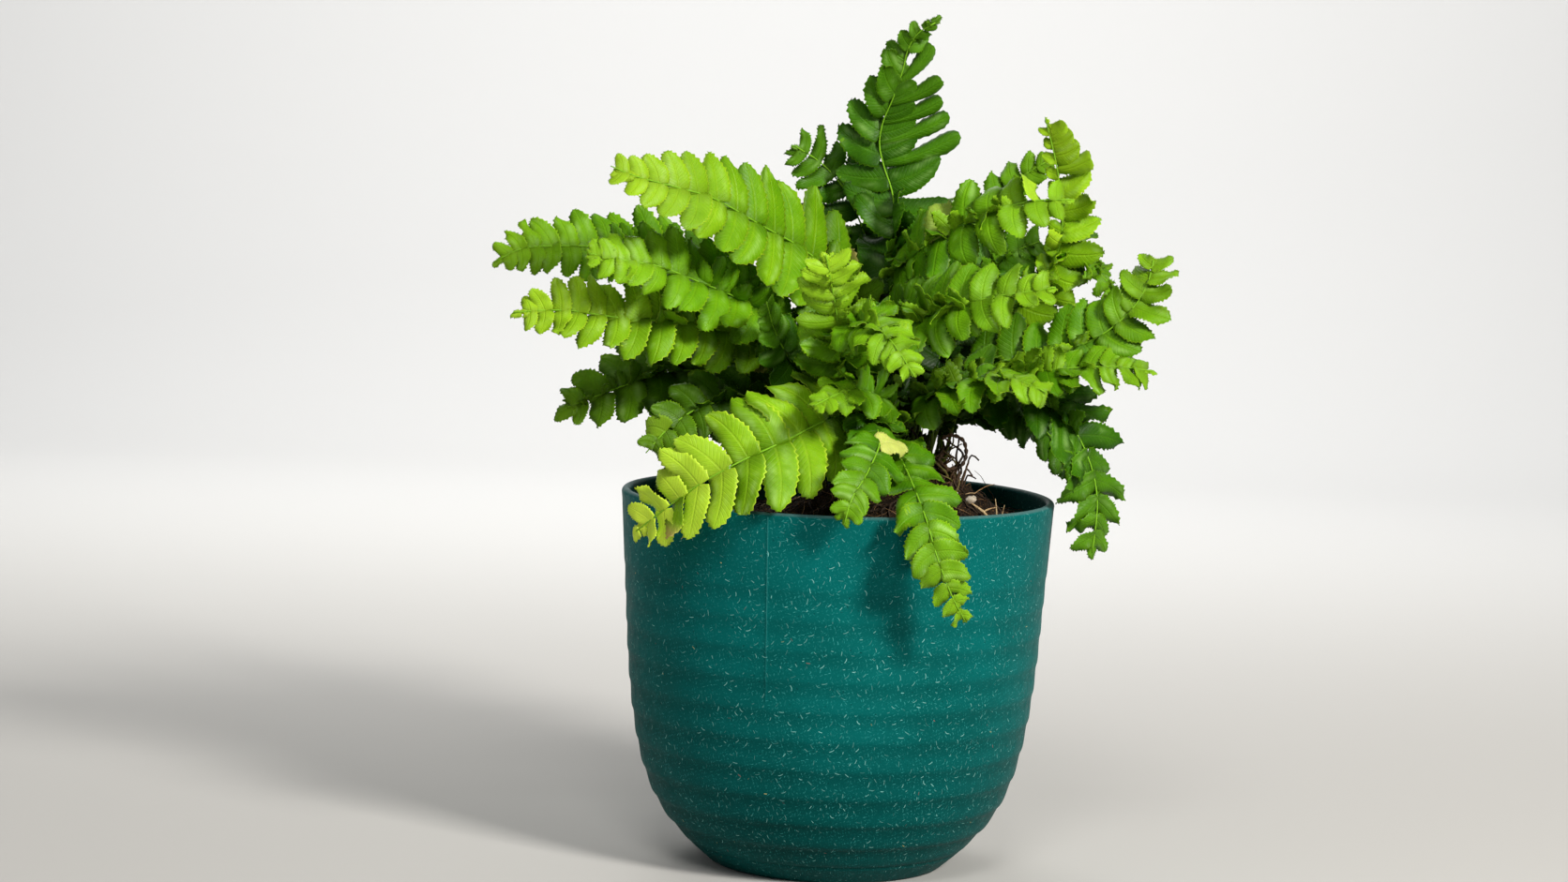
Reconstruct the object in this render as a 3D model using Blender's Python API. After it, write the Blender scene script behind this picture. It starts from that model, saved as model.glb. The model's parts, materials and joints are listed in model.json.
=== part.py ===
# Potted fern: a ridged cover pot, its soil, and a crown of fronds cut into leaflets.
#
# Lengths are in millimetres until a mesh is made. The origin is the middle of the pot's
# base, +X runs to the right, +Y away from the viewer and +Z up. Each frond is one thin
# arched blade, cut to the rib, on a square stipe that stands in a hole in the soil.

import math
import random

import bmesh
import bpy
from mathutils import Matrix, Vector, geometry
from mathutils.bvhtree import BVHTree

MM = 0.001
GAP = 0.3                  # clearance between pieces that rest on each other
SEED = 8

# Pot
SIDES = 32
RIM_RADIUS = 75.0
RIM_HEIGHT = 129.0
WALL = 3.0
FLOOR = 4.0
FOOT_RADIUS = 41.0
FOOT_HEIGHT = 0.5          # a small chamfer lifts the foot's edge
FOOT_CHAMFER = 1.2
FOOT_HANDLE = (59.0, 16.0)       # radius and height of the round base's curve handles
SHOULDER_HANDLE = (68.2, 23.0)
SHOULDER = (71.9, 80.0)    # where the round base turns into the nearly straight wall
LIP_ANGLES = (0, 50, 130, 190)   # places of the round lip's points, in degrees from its outside
INNER_PLACES = (14, 27, 46, 70, 100, 126)       # of the inside's points, up the wall from the foot
INNER_CORNER = 5.0         # width of the sloped corner between the inside and its floor
RIDGE_FIRST = 11.0         # distance of the lowest ridge up the wall from the foot
RIDGE_PITCH = 10.2
RIDGE_COUNT = 9
RIDGE_LOW = 1.0            # depth of the lowest ridge, which fades out towards the rim
RIDGE_FADE = 118.0
RIDGE_LEAST = 0.12         # the least share of that depth, near the rim
CURVE_STEPS = 60
SMOOTH_ANGLE = 40.0

# Soil
SOIL_EDGE = 118.0          # height of the soil near the wall
MOUND_CENTRE = (15.0, 2.0)
MOUND_HEIGHT = 19.0
MOUND_WIDTH = 30.0
SOIL_LUMP = 0.7
SOIL_RINGS = 6
SOIL_ROUND = 4.0           # height of the rounded edge beside the wall
SOIL_SPREAD = 0.4          # how much wider the edge is than the line below it

# Fronds
STIPE_HALF = 0.9           # half the stipe's square section
RACHIS_HALF = 0.65
HOLE_DEPTH = 10.0
UPRIGHT = 3.0              # height above the soil up to which a stipe stands straight
KNEE_PLACE = 0.45          # of the bare stipe's bend, from the soil to the first leaflets
KNEE_LIFT = 0.18           # how far the bend lies above that straight line, over its length
STIPE_STEP = 15.0          # spacing of the stipe's stations
ROOT_SPACING = 4.9
CROWN_CORE = 3.0           # root places lie this far from the crown's middle, and further
CROWN_WIDTH = 19.0
SPREAD_ROUNDS = 200        # of pushing the root places apart
CLEARANCE = 0.25           # kept between the leaflets of different fronds
LEAF_THICK = 0.7
LEAF_FILL = 0.93           # a leaflet's width over the spacing of its neighbours
LEAF_TIP = 0.72            # width of the blunt tip over the widest part
LEAF_MIDDLE = 0.42         # place of the fold between the two spans of a leaflet
LEAF_DROOPS = (0.4, 1.8)   # share of the droop in the two spans
LEAF_TWIST = 9.0           # most degrees that a leaflet is turned about its own line
SMALL_LEAF = 9.0           # shorter leaflets are a single span, and so are a plain frond's
START, END = 0.3, 0.95     # the part of the whole blade's outline that leaflets cover
PITCH_BASE, PITCH_FALL = 1.08, 0.4     # spacing of the first leaflets, and its fall to the tip
LAST_ROOM = 0.9            # a leaflet needs this much of its spacing before the tip
SHORTEST_LEAF = 2.5
TIP_LENGTH = 0.3           # the last leaflet's length over the longest one's
SHORTEST_TIP = 4.0
TIP_OUTLINE = ((0.45, 0.32), (1.0, 0.12))       # distance and half width over its length
CORNERS = ((1, 1), (-1, 1), (-1, -1), (1, -1))  # of a rib's section: side, up
BENDS = (0, 16, -16, 32, -32, 48, -48, 64)      # degrees a leaflet turns to clear another
TRIMS = (1.0, 0.75, 0.5)                        # and how much of its length it keeps

TONES = {
    "light": (0.30, 0.55, 0.03),
    "bright": (0.16, 0.42, 0.02),
    "mid": (0.10, 0.33, 0.02),
    "deep": (0.04, 0.20, 0.015),
    "olive": (0.06, 0.19, 0.01),
}

# Each frond's path is given by points on its rib, from the base of the leaflets to the tip.
# face is the way its upper side looks at the middle, leaflet the length of the longest
# leaflet, pitch their spacing, lean how far they point forward, and droop how far they
# hang below the blade. ring places the root: 0 in the middle of the crown, 1 at its edge.
# start replaces START, and a plain frond has leaflets of one span.
FRONDS = {
    "frond_front_left": dict(
        path=[(1, -36, 159), (-6, -50, 158), (-19, -63, 152), (-34, -70, 145), (-47, -70, 137),
              (-58, -65, 128), (-67, -59, 120)],
        face=(0.1, -0.75, 0.65), leaflet=23, pitch=9.2, lean=10, droop=8, ring=0.8, tone="light"),
    "frond_drop_right": dict(
        path=[(16, -38, 151), (21, -62, 144), (27, -82, 131), (31, -89, 119), (36, -89, 107),
              (41, -87, 98)],
        face=(0.1, -0.9, 0.4), leaflet=14, pitch=8.0, lean=16, droop=10, ring=0.9, tone="bright"),
    "frond_drop_left": dict(
        path=[(9, -45, 160), (12, -62, 153), (8, -78, 144), (3, -86, 136), (1, -88, 128)],
        face=(0, -0.95, 0.3), leaflet=13, pitch=7.2, lean=16, droop=10, ring=0.9, tone="mid"),
    "frond_front_low": dict(
        path=[(15, -30, 161), (8, -50, 168), (0, -64, 169), (-10, -76, 165)],
        face=(0, -0.6, 0.8), leaflet=13, pitch=7.4, lean=16, droop=14, ring=0.6, tone="light"),
    "frond_front_centre": dict(
        path=[(4, -18, 160), (0, -40, 176), (-4, -60, 196), (-8, -72, 214)],
        face=(0, -0.9, 0.4), leaflet=15, pitch=7.2, lean=16, droop=12, ring=0.5, tone="light"),
    "frond_centre_curl": dict(
        path=[(3, -24, 174), (0, -46, 187), (6, -64, 192), (14, -77, 187), (22, -84, 176)],
        face=(0.1, -0.8, 0.6), leaflet=15, pitch=7.4, lean=16, droop=12, ring=0.45, tone="bright"),
    "frond_right_mid": dict(
        path=[(14, -22, 184), (24, -43, 193), (36, -58, 198), (48, -66, 202), (58, -70, 204),
              (67, -72, 206)],
        face=(0, -0.8, 0.6), leaflet=16, pitch=8.0, lean=6, droop=6, ring=0.5, tone="bright"),
    "frond_left_near": dict(
        path=[(-20, -14, 186), (-36, -26, 196), (-50, -36, 202), (-63, -45, 207), (-75, -52, 209),
              (-86, -56, 211)],
        face=(0.1, -0.7, 0.7), leaflet=17, pitch=7.6, lean=10, droop=10, ring=0.5, tone="bright"),
    "frond_left_low": dict(
        path=[(-22, -10, 179), (-45, -25, 186), (-58, -32, 188), (-75, -38, 189), (-91, -42, 191),
              (-101, -44, 191), (-111, -46, 190)],
        face=(0, -0.75, 0.65), leaflet=17, pitch=7.8, lean=10, droop=8, ring=0.7, tone="bright"),
    "frond_left_far": dict(
        path=[(-40, 13, 201), (-54, 11, 207), (-70, 8, 210), (-85, 5, 211), (-98, 0, 211),
              (-111, -5, 210), (-121, -8, 205)],
        face=(0, -0.6, 0.8), leaflet=17, pitch=7.4, lean=10, droop=10, ring=0.6, tone="mid"),
    "frond_upper_left": dict(
        path=[(-1, 2, 201), (-15, -10, 213), (-29, -28, 221), (-45, -46, 230), (-55, -55, 233),
              (-63, -60, 235), (-71, -64, 237), (-79, -66, 240)],
        face=(0.65, -0.6, 0.4), leaflet=23, pitch=9.4, lean=14, droop=4, ring=0.2, tone="light",
        start=0.42),
    "frond_top": dict(
        path=[(18, 10, 198), (16, 12, 229), (12, 13, 242), (10, 12, 250), (11, 10, 258),
              (14, 6, 266), (17, 3, 276), (18, 0, 282), (21, -4, 288), (27, -8, 292)],
        face=(0, -1, 0.2), leaflet=22, pitch=8.0, lean=28, droop=4, ring=0.0, tone="deep",
        start=0.36),
    "frond_right_upper": dict(
        path=[(17, -5, 205), (26, -20, 216), (38, -30, 224), (48, -37, 229), (60, -42, 233),
              (73, -43, 234)],
        face=(0, -0.75, 0.65), leaflet=14, pitch=8.0, lean=-10, droop=8, ring=0.2, tone="light"),
    "frond_right_upright": dict(
        path=[(50, 14, 188), (62, 10, 199), (72, 4, 212), (74, 0, 227), (71, -4, 244), (66, -8, 261)],
        face=(-0.75, -0.6, 0), leaflet=13, pitch=7.4, lean=14, droop=6, ring=0.5, tone="light"),
    "frond_right_low": dict(
        path=[(33, -14, 169), (58, -22, 174), (78, -28, 177), (92, -30, 178), (104, -30, 177)],
        face=(0, -0.45, 0.9), leaflet=14, pitch=7.6, lean=10, droop=8, ring=0.8, tone="light"),
    "frond_right_far": dict(
        path=[(46, -5, 173), (68, -12, 179), (86, -17, 187), (97, -20, 197), (102, -20, 206),
              (104, -18, 214)],
        face=(-0.3, -0.8, 0.4), leaflet=15, pitch=7.8, lean=12, droop=8, ring=0.6, tone="bright"),
    "frond_right_droop": dict(
        path=[(46, 0, 168), (62, -8, 167), (76, -14, 159), (84, -17, 147), (88, -20, 132),
              (87, -22, 114)],
        face=(0.4, -0.6, 0.6), leaflet=18, pitch=8.6, lean=22, droop=14, ring=0.9, tone="deep"),
    "frond_centre_low": dict(
        path=[(22, -20, 158), (32, -32, 168), (44, -42, 173), (56, -48, 174), (67, -52, 170)],
        face=(0.1, -0.5, 0.9), leaflet=13, pitch=7.8, lean=14, droop=14, ring=0.8, tone="mid"),
    "frond_centre_right": dict(
        path=[(32, 6, 172), (38, 11, 188), (47, 14, 203), (57, 15, 213), (67, 14, 218)],
        face=(0, -0.85, 0.5), leaflet=15, pitch=8.2, lean=12, droop=8, ring=0.4, tone="deep",
        plain=True),
    "frond_centre_back": dict(
        path=[(9, 16, 172), (1, 21, 190), (-8, 24, 203), (-18, 25, 213)],
        face=(0, -0.85, 0.5), leaflet=15, pitch=8.2, lean=12, droop=8, ring=0.3, tone="deep",
        plain=True),
    "frond_right_thin": dict(
        path=[(53, 20, 187), (65, 20, 203), (79, 16, 216), (90, 12, 206), (97, 10, 198)],
        face=(0.2, 0, 1), leaflet=9, pitch=7.4, lean=12, droop=8, ring=0.6, tone="mid"),
    "frond_left_dark": dict(
        path=[(-32, 10, 168), (-58, 5, 169), (-69, 0, 166), (-82, -5, 161), (-94, -8, 156)],
        face=(-0.2, -0.7, 0.5), leaflet=17, pitch=8.4, lean=14, droop=10, ring=0.9, tone="olive"),
    "frond_left_bottom": dict(
        path=[(-22, -8, 162), (-44, -18, 160), (-57, -24, 153), (-66, -28, 143)],
        face=(-0.1, -0.8, 0.5), leaflet=14, pitch=7.8, lean=14, droop=10, ring=1.0, tone="olive",
        plain=True),
    "frond_left_inner": dict(
        path=[(-8, -14, 164), (-18, -30, 176), (-24, -42, 187), (-27, -50, 197)],
        face=(0, -0.8, 0.5), leaflet=13, pitch=7.8, lean=16, droop=10, ring=0.4, tone="deep",
        plain=True),
    "frond_top_left_small": dict(
        path=[(8, 28, 213), (0, 27, 231), (-6, 24, 239), (-12, 20, 244), (-19, 16, 248)],
        face=(0, -0.8, 0.5), leaflet=13, pitch=6.8, lean=20, droop=8, ring=0.3, tone="deep",
        plain=True),
    "frond_droop_back": dict(
        path=[(37, 16, 160), (51, 20, 162), (66, 20, 156), (80, 19, 144), (90, 18, 132), (95, 17, 122)],
        face=(0.3, -0.8, 0.5), leaflet=12, pitch=8.0, lean=18, droop=10, ring=1.0, tone="deep",
        plain=True),
    "frond_back_right_up": dict(
        path=[(33, 36, 200), (48, 44, 224), (60, 46, 238), (71, 42, 246)],
        face=(0, -0.6, 0.8), leaflet=14, pitch=8.2, lean=14, droop=8, ring=0.4, tone="mid",
        plain=True),
}

# The back of the crown: fronds by a rule, each arching out over its own heading.
BACK_KINDS = {
    "low": dict(reach=84, crest=170, tip=132, bare=0.34, steep=0.55, leaflet=17, ring=1.0, tone="deep"),
    "middle": dict(reach=92, crest=196, tip=186, bare=0.34, steep=0.75, leaflet=17, ring=0.7, tone="mid"),
    "high": dict(reach=74, crest=232, tip=238, bare=0.3, steep=1.0, leaflet=17, ring=0.35, tone="mid"),
}
BACK_ROW = ("low", "middle", "high", "low", "middle", "low", "high", "middle", "low")
BACK_FIRST, BACK_LAST = 34, 166    # headings of the first and the last frond, in degrees
BACK_PITCH = 8.2
BACK_OUTWARD = 0.7         # how far a back frond's upper side looks outward
BACK_HEIGHT_DRAW = 6
BACK_REACH_DRAW = 5
BACK_SHARES = (0.5, 0.67, 0.84, 1.0)   # places of the path's points along its reach
CREST_PLACE = 0.7          # where along its reach a back frond stops rising
FALL_START, FALL_POWER = 0.6, 1.6      # where it starts to fall, and how suddenly

# Old stipes: a stub of the crown with thin bare stipes bent back over it.
STUB_PLACE = (40.0, -9.0)
STUB_RADIUS = 2.4
STUB_SIDES = 8
STUB_TAPER = 0.8
STUB_RISE = 3.0            # how far the stub stands out of the soil
WIRE_COUNT = 8
WIRE_SEED = 10
WIRE_HALF = 0.42
WIRE_TAPER = (1.2, 0.3)    # thickness at the root over its mean, and its loss up to the tip
WIRE_HEIGHT = (9, 22)
WIRE_REACH = (3, 9)
WIRE_BEND = (0.3, 0.5), (0.8, 1.0)     # share of the reach and the height at its two bends
WIRE_END = (1.1, 1.7), (0.7, 0.95)     # and the draws of both for its end
WIRE_PLACES = (0.0, 0.3, 0.55, 0.8, 1.0)
WIRE_RING = 0.45           # distance of the wires' roots from the stub's middle, over its radius
WIRE_SUNK = 1.2


def material(name, colour, roughness):
    """A plain Principled material."""
    made = bpy.data.materials.new(name)
    made.use_nodes = True
    shader = made.node_tree.nodes["Principled BSDF"]
    shader.inputs["Base Color"].default_value = (*colour, 1.0)
    shader.inputs["Roughness"].default_value = roughness
    shader.inputs["Metallic"].default_value = 0.0
    return made


def add_object(name, points, faces, finish, collection=None):
    """One object from points in millimetres."""
    mesh = bpy.data.meshes.new(name)
    mesh.from_pydata([Vector(point) * MM for point in points], [], faces)
    mesh.validate()
    mesh.materials.append(finish)
    made = bpy.data.objects.new(name, mesh)
    (collection or bpy.context.scene.collection).objects.link(made)
    return made


# Pot

def wall_line():
    """Points (radius, height) up the pot's outside without its ridges."""
    corners = [Vector((*place, 0)) for place in
               ((FOOT_RADIUS, FOOT_HEIGHT), FOOT_HANDLE, SHOULDER_HANDLE, SHOULDER)]
    curve = geometry.interpolate_bezier(*corners, CURVE_STEPS)
    top = Vector((RIM_RADIUS, RIM_HEIGHT, 0))
    straight = [corners[3].lerp(top, step / CURVE_STEPS) for step in range(1, CURVE_STEPS + 1)]
    return curve + straight


def at_distance(line, distance):
    """The point and the outward normal at a distance along a line of (radius, height)."""
    for start, end in zip(line, line[1:]):
        span = (end - start).length
        if distance <= span or end is line[-1]:
            way = (end - start) / span
            return start + way * distance, Vector((way.y, -way.x, 0))
        distance -= span


def ridge_depth(height):
    """How far a ridge's crest stands out of the valleys beside it."""
    return RIDGE_LOW * max(RIDGE_LEAST, 1 - height / RIDGE_FADE)


def pot_profile():
    """Points (radius, height) from the base's middle up the outside and down the inside."""
    line = wall_line()
    profile = [(FOOT_RADIUS - FOOT_CHAMFER, 0.0), (FOOT_RADIUS, FOOT_HEIGHT)]
    for step in range(2 * RIDGE_COUNT - 1):
        point, normal = at_distance(line, RIDGE_FIRST + RIDGE_PITCH * step / 2)
        inward = -ridge_depth(point.y) if step % 2 else 0.0
        point = point + normal * inward
        profile.append((point.x, point.y))
    lip = WALL / 2
    for degrees in LIP_ANGLES:
        angle = math.radians(degrees)
        profile.append((RIM_RADIUS - lip + lip * math.cos(angle),
                        RIM_HEIGHT - lip + lip * math.sin(angle)))
    return profile + inner_line(0.0)[::-1]


def inner_line(gap):
    """Points (radius, height) up the pot's inside, a gap clear of it."""
    line = wall_line()
    points = []
    for distance in INNER_PLACES:
        point, normal = at_distance(line, distance)
        inner = point - normal * (WALL + gap)
        points.append((inner.x, inner.y))
    return [(points[0][0] - INNER_CORNER, FLOOR + gap)] + points


def turned(profile):
    """Points and faces of a profile turned about the Z axis and closed at both ends."""
    points, faces = [], []
    for radius, height in profile:
        for side in range(SIDES):
            angle = math.tau * side / SIDES
            points.append((radius * math.cos(angle), radius * math.sin(angle), height))
    for ring in range(len(profile) - 1):
        for side in range(SIDES):
            after = (side + 1) % SIDES
            low, high = ring * SIDES, (ring + 1) * SIDES
            faces.append((low + side, low + after, high + after, high + side))
    faces.append(tuple(reversed(range(SIDES))))
    last = (len(profile) - 1) * SIDES
    faces.append(tuple(last + side for side in range(SIDES)))
    return points, faces


def add_pot():
    finish = material("teal moulded pot", (0.0, 0.105, 0.11), 0.5)
    pot = add_object("pot", *turned(pot_profile()), finish)
    pot.data.shade_smooth()
    pot.data.set_sharp_from_angle(angle=math.radians(SMOOTH_ANGLE))
    return pot


# Soil

def soil_height(x, y):
    """Height of the soil's top, a mound round the crown with low lumps."""
    away = math.hypot(x - MOUND_CENTRE[0], y - MOUND_CENTRE[1])
    mound = MOUND_HEIGHT * math.exp(-(away / MOUND_WIDTH) ** 2)
    lumps = SOIL_LUMP * (math.sin(x * 0.31 + 1.3) * math.cos(y * 0.27) + math.sin(x * 0.13 - y * 0.41))
    return SOIL_EDGE + mound + lumps


def soil_mesh():
    """Points and faces of the root ball: the pot's inside line, closed by the mound."""
    side_line = [place for place in inner_line(GAP) if place[1] < SOIL_EDGE - SOIL_ROUND]
    points, faces = turned(side_line)
    faces.pop()
    reach = side_line[-1][0] + SOIL_SPREAD
    low = len(points) - SIDES
    for ring in range(SOIL_RINGS):
        radius = reach * (1 - ring / SOIL_RINGS)
        for side in range(SIDES):
            angle = math.tau * side / SIDES
            x, y = radius * math.cos(angle), radius * math.sin(angle)
            points.append((x, y, soil_height(x, y)))
            after = (side + 1) % SIDES
            faces.append((low + side, low + after, low + SIDES + after, low + SIDES + side))
        low += SIDES
    points.append((0, 0, soil_height(0, 0)))
    for side in range(SIDES):
        faces.append((low + side, low + (side + 1) % SIDES, len(points) - 1))
    return points, faces


def add_soil(sockets):
    """The root ball, clear of the pot, with a hole for each stipe."""
    soil = add_object("soil", *soil_mesh(), material("dark root ball", (0.035, 0.02, 0.012), 0.95))
    cutters = bpy.data.collections.new("stipe_holes")
    for matrix, half, sides in sockets:
        cutter = add_object("stipe_hole", *post(matrix, half + GAP, sides, -GAP, 3 * HOLE_DEPTH),
                            soil.data.materials[0], cutters)
        cutter.hide_render = True
        cutter.display_type = "WIRE"
    cut = soil.modifiers.new("holes", "BOOLEAN")
    cut.operation = "DIFFERENCE"
    cut.operand_type = "COLLECTION"
    cut.collection = cutters
    bake(soil, cutters)
    return soil


def post(matrix, half, sides, low, high, top_half=None):
    """Points and faces of a straight prism whose flats lie half from its axis."""
    points, faces = [], []
    for level, inner in ((low, half), (high, top_half or half)):
        radius = inner / math.cos(math.pi / sides)
        for side in range(sides):
            angle = math.tau * (side + 0.5) / sides
            points.append(matrix @ Vector((radius * math.cos(angle), radius * math.sin(angle), level)))
    for side in range(sides):
        after = (side + 1) % sides
        faces.append((side, after, sides + after, sides + side))
    faces.append(tuple(reversed(range(sides))))
    faces.append(tuple(range(sides, 2 * sides)))
    return points, faces


def bake(piece, operands):
    """Apply a piece's modifiers and remove the collection that they used."""
    view = bpy.context.evaluated_depsgraph_get()
    view.update()
    result = bpy.data.meshes.new_from_object(piece.evaluated_get(view))
    piece.modifiers.clear()
    piece.data = result
    for operand in list(operands.objects):
        bpy.data.objects.remove(operand)
    bpy.data.collections.remove(operands)


# Frond paths

def smooth_path(points, step=2.0):
    """Points about a step apart on a smooth curve through the given points."""
    points = [Vector(point) for point in points]
    ends = [2 * points[0] - points[1]] + points + [2 * points[-1] - points[-2]]
    path = []
    for before, start, end, after in zip(ends, ends[1:], ends[2:], ends[3:]):
        count = max(2, round((end - start).length / step))
        for number in range(count):
            part = number / count
            path.append(0.5 * (2 * start + (end - before) * part
                               + (2 * before - 5 * start + 4 * end - after) * part ** 2
                               + (3 * start - before - 3 * end + after) * part ** 3))
    return path + [points[-1]]


class Path:
    """A smooth curve with a frame (tangent, side, up) that can be read at any distance."""

    def __init__(self, points):
        self.points = smooth_path(points)
        self.distances = [0.0]
        for start, end in zip(self.points, self.points[1:]):
            self.distances.append(self.distances[-1] + (end - start).length)
        self.length = self.distances[-1]
        self.tangents = [self.tangent_of(number) for number in range(len(self.points))]
        self.ups = [self.tangents[0].orthogonal().normalized()]
        for start, end in zip(self.tangents, self.tangents[1:]):
            self.ups.append(start.rotation_difference(end) @ self.ups[-1])

    def tangent_of(self, number):
        low, high = max(0, number - 1), min(len(self.points) - 1, number + 1)
        return (self.points[high] - self.points[low]).normalized()

    def index_at(self, distance):
        return next((number for number, reached in enumerate(self.distances)
                     if reached >= distance), len(self.points) - 1)

    def distance_of(self, place):
        """Distance of the curve's point that is nearest to a place."""
        nearest = min(self.points, key=lambda point: (point - place).length)
        return self.distances[self.points.index(nearest)]

    def turn_to(self, face, distance):
        """Turn every frame by one angle, so that up is nearest to face at one distance."""
        number = self.index_at(distance)
        along, up = self.tangents[number], self.ups[number]
        wanted = face - along * face.dot(along)
        angle = math.atan2(along.dot(up.cross(wanted)), up.dot(wanted))
        self.ups = [Matrix.Rotation(angle, 3, tangent) @ up
                    for tangent, up in zip(self.tangents, self.ups)]

    def frame_at(self, distance):
        """Point, tangent, side and up at a distance from the start."""
        high = min(max(1, self.index_at(distance)), len(self.points) - 1)
        low = high - 1
        span = self.distances[high] - self.distances[low]
        part = min(1.0, max(0.0, (distance - self.distances[low]) / span))
        tangent = self.tangents[low].lerp(self.tangents[high], part).normalized()
        up = self.ups[low].lerp(self.ups[high], part)
        up = (up - tangent * up.dot(tangent)).normalized()
        return self.points[low].lerp(self.points[high], part), tangent, tangent.cross(up), up


# Leaflets

class Frond:
    """A frond's stations along its path, and its leaflets, bent clear of what is there."""

    def __init__(self, name, spec, root):
        self.name = name
        self.spec = spec
        floor = Vector((*root, soil_height(*root) - HOLE_DEPTH))
        rise = Vector((0, 0, HOLE_DEPTH + UPRIGHT))
        entry = Vector(spec["path"][0])
        knee = (floor + rise).lerp(entry, KNEE_PLACE)
        knee.z += KNEE_LIFT * (entry - floor).length
        self.path = Path([floor, floor + rise / 2, floor + rise, knee, *spec["path"]])
        self.bare = self.path.distance_of(entry)
        self.path.turn_to(Vector(spec["face"]), (self.bare + self.path.length) / 2)
        self.stations = self.place_stations()
        self.leaves = {}

    def place_stations(self):
        """Distances of the stations: up the bare stipe, then one between each pair of leaflets."""
        start, length, knee = self.bare, self.path.length, HOLE_DEPTH + UPRIGHT
        steps = max(2, round((start - knee) / STIPE_STEP))
        stipe = [0.0] + [knee + (start - knee) * step / steps for step in range(steps)]
        blade, reached = [start], start
        while length - reached > LAST_ROOM * self.pitch_at(reached):
            reached += self.pitch_at(reached)
            blade.append(min(reached, length))
        self.first_leaf = len(stipe)
        return stipe + blade

    def share(self, distance):
        """How far along the blade a distance is, from 0 at its first leaflets to 1 at its tip."""
        return min(1.0, max(0.0, (distance - self.bare) / (self.path.length - self.bare)))

    def pitch_at(self, distance):
        return self.spec["pitch"] * (PITCH_BASE - PITCH_FALL * self.share(distance))

    def leaf_length(self, distance):
        start = self.spec.get("start", START)
        place = start + (END - start) * self.share(distance)
        return self.spec["leaflet"] * math.sin(math.pi * place)

    def half_at(self, distance):
        return STIPE_HALF + (RACHIS_HALF - STIPE_HALF) * min(1.0, distance / self.bare)

    def ring(self, number):
        """The four corners of the stipe or the rachis at a station, in CORNERS' order."""
        distance = self.stations[number]
        point, _, side, up = self.path.frame_at(distance)
        half = self.half_at(distance)
        return [point + side * half * across + up * half * high for across, high in CORNERS]

    def leaf_line(self, number, hand, bend, trim):
        """Centre line of the leaflet after a station: its base, middle and tip, with normals."""
        distance = (self.stations[number] + self.stations[number + 1]) / 2
        point, tangent, side, up = self.path.frame_at(distance)
        out = side * hand
        length = self.leaf_length(distance) * trim
        lean = math.radians(self.spec["lean"])
        line = [(point + out * self.half_at(distance), up)]
        for part, droop in zip((LEAF_MIDDLE, 1 - LEAF_MIDDLE), LEAF_DROOPS):
            fall = math.radians(droop * self.spec["droop"] + bend)
            flat = out * math.cos(lean) + tangent * math.sin(lean)
            way = flat * math.cos(fall) - up * math.sin(fall)
            line.append((line[-1][0] + way * length * part, up * math.cos(fall) + flat * math.sin(fall)))
        return line, tangent, length

    def leaf_shape(self, number, hand, bend, trim):
        """Pairs of points (near the root, near the tip) across the leaflet, with normals."""
        line, tangent, length = self.leaf_line(number, hand, bend, trim)
        spacing = self.stations[number + 1] - self.stations[number]
        jitter = random.Random(f"{SEED}{self.name}{number}{hand}")
        twist = math.radians(jitter.uniform(-LEAF_TWIST, LEAF_TWIST))
        spans = list(zip(line[1:], (1.0, LEAF_TIP)))
        if length < SMALL_LEAF or self.spec.get("plain"):
            spans = spans[1:]
        shape = []
        for (centre, normal), wide in spans:
            room = min(spacing, self.room(number, hand, centre))
            half = room * LEAF_FILL / 2 * wide
            way = (centre - line[0][0]).normalized()
            across = (tangent - way * tangent.dot(way)).normalized()
            across = Matrix.Rotation(twist, 3, way) @ across
            face = way.cross(across).normalized()
            face = face if face.dot(normal) > 0 else -face
            shape.append((centre - across * half, centre + across * half, face))
        return shape, length

    def room(self, number, hand, centre):
        """Distance between the notch lines on both sides of a leaflet's centre."""
        widths = []
        for other in (number, number + 1):
            point, tangent, side, up = self.path.frame_at(self.stations[other])
            lean = math.radians(self.spec["lean"])
            notch = side * hand * math.cos(lean) + tangent * math.sin(lean)
            plane = notch.cross(up).normalized()
            widths.append(abs((centre - point).dot(plane)))
        return 2 * min(widths)

    def slab(self, number, hand, bend, trim):
        """A closed mesh round the leaflet, for the clearance test."""
        shape, _ = self.leaf_shape(number, hand, bend, trim)
        ends = [self.path.frame_at(self.stations[other]) for other in (number, number + 1)]
        half = self.half_at(self.stations[number])
        near, far = (point + side * hand * half for point, _, side, _ in ends)
        rings = [(near, far, ends[0][3], half)]
        rings += [(near, far, normal, LEAF_THICK / 2) for near, far, normal in shape]
        points = []
        for near, far, normal, half in rings:
            lift = normal * (half + CLEARANCE / 2)
            points += [near + lift, far + lift, far - lift, near - lift]
        return points, tube_faces(len(rings))

    def rachis_solid(self):
        """A closed mesh round the stipe, the rachis and the tip, for the clearance test."""
        points = []
        rings = [self.ring(number) for number in range(len(self.stations))] + self.tip_rings()
        for corners in rings:
            middle = sum(corners, Vector()) / 4
            points += [corner + (corner - middle).normalized() * CLEARANCE for corner in corners]
        return points, tube_faces(len(rings))

    def tip_rings(self):
        """The last leaflet, which goes on along the rib and ends in a blunt point."""
        point, tangent, side, up = self.path.frame_at(self.stations[-1])
        length = max(SHORTEST_TIP, TIP_LENGTH * self.spec["leaflet"])
        half = LEAF_THICK / 2
        rings = []
        for along, wide in TIP_OUTLINE:
            centre, wide = point + tangent * length * along, wide * length
            rings.append([centre + side * wide * across + up * half * high for across, high in CORNERS])
        return rings


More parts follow.
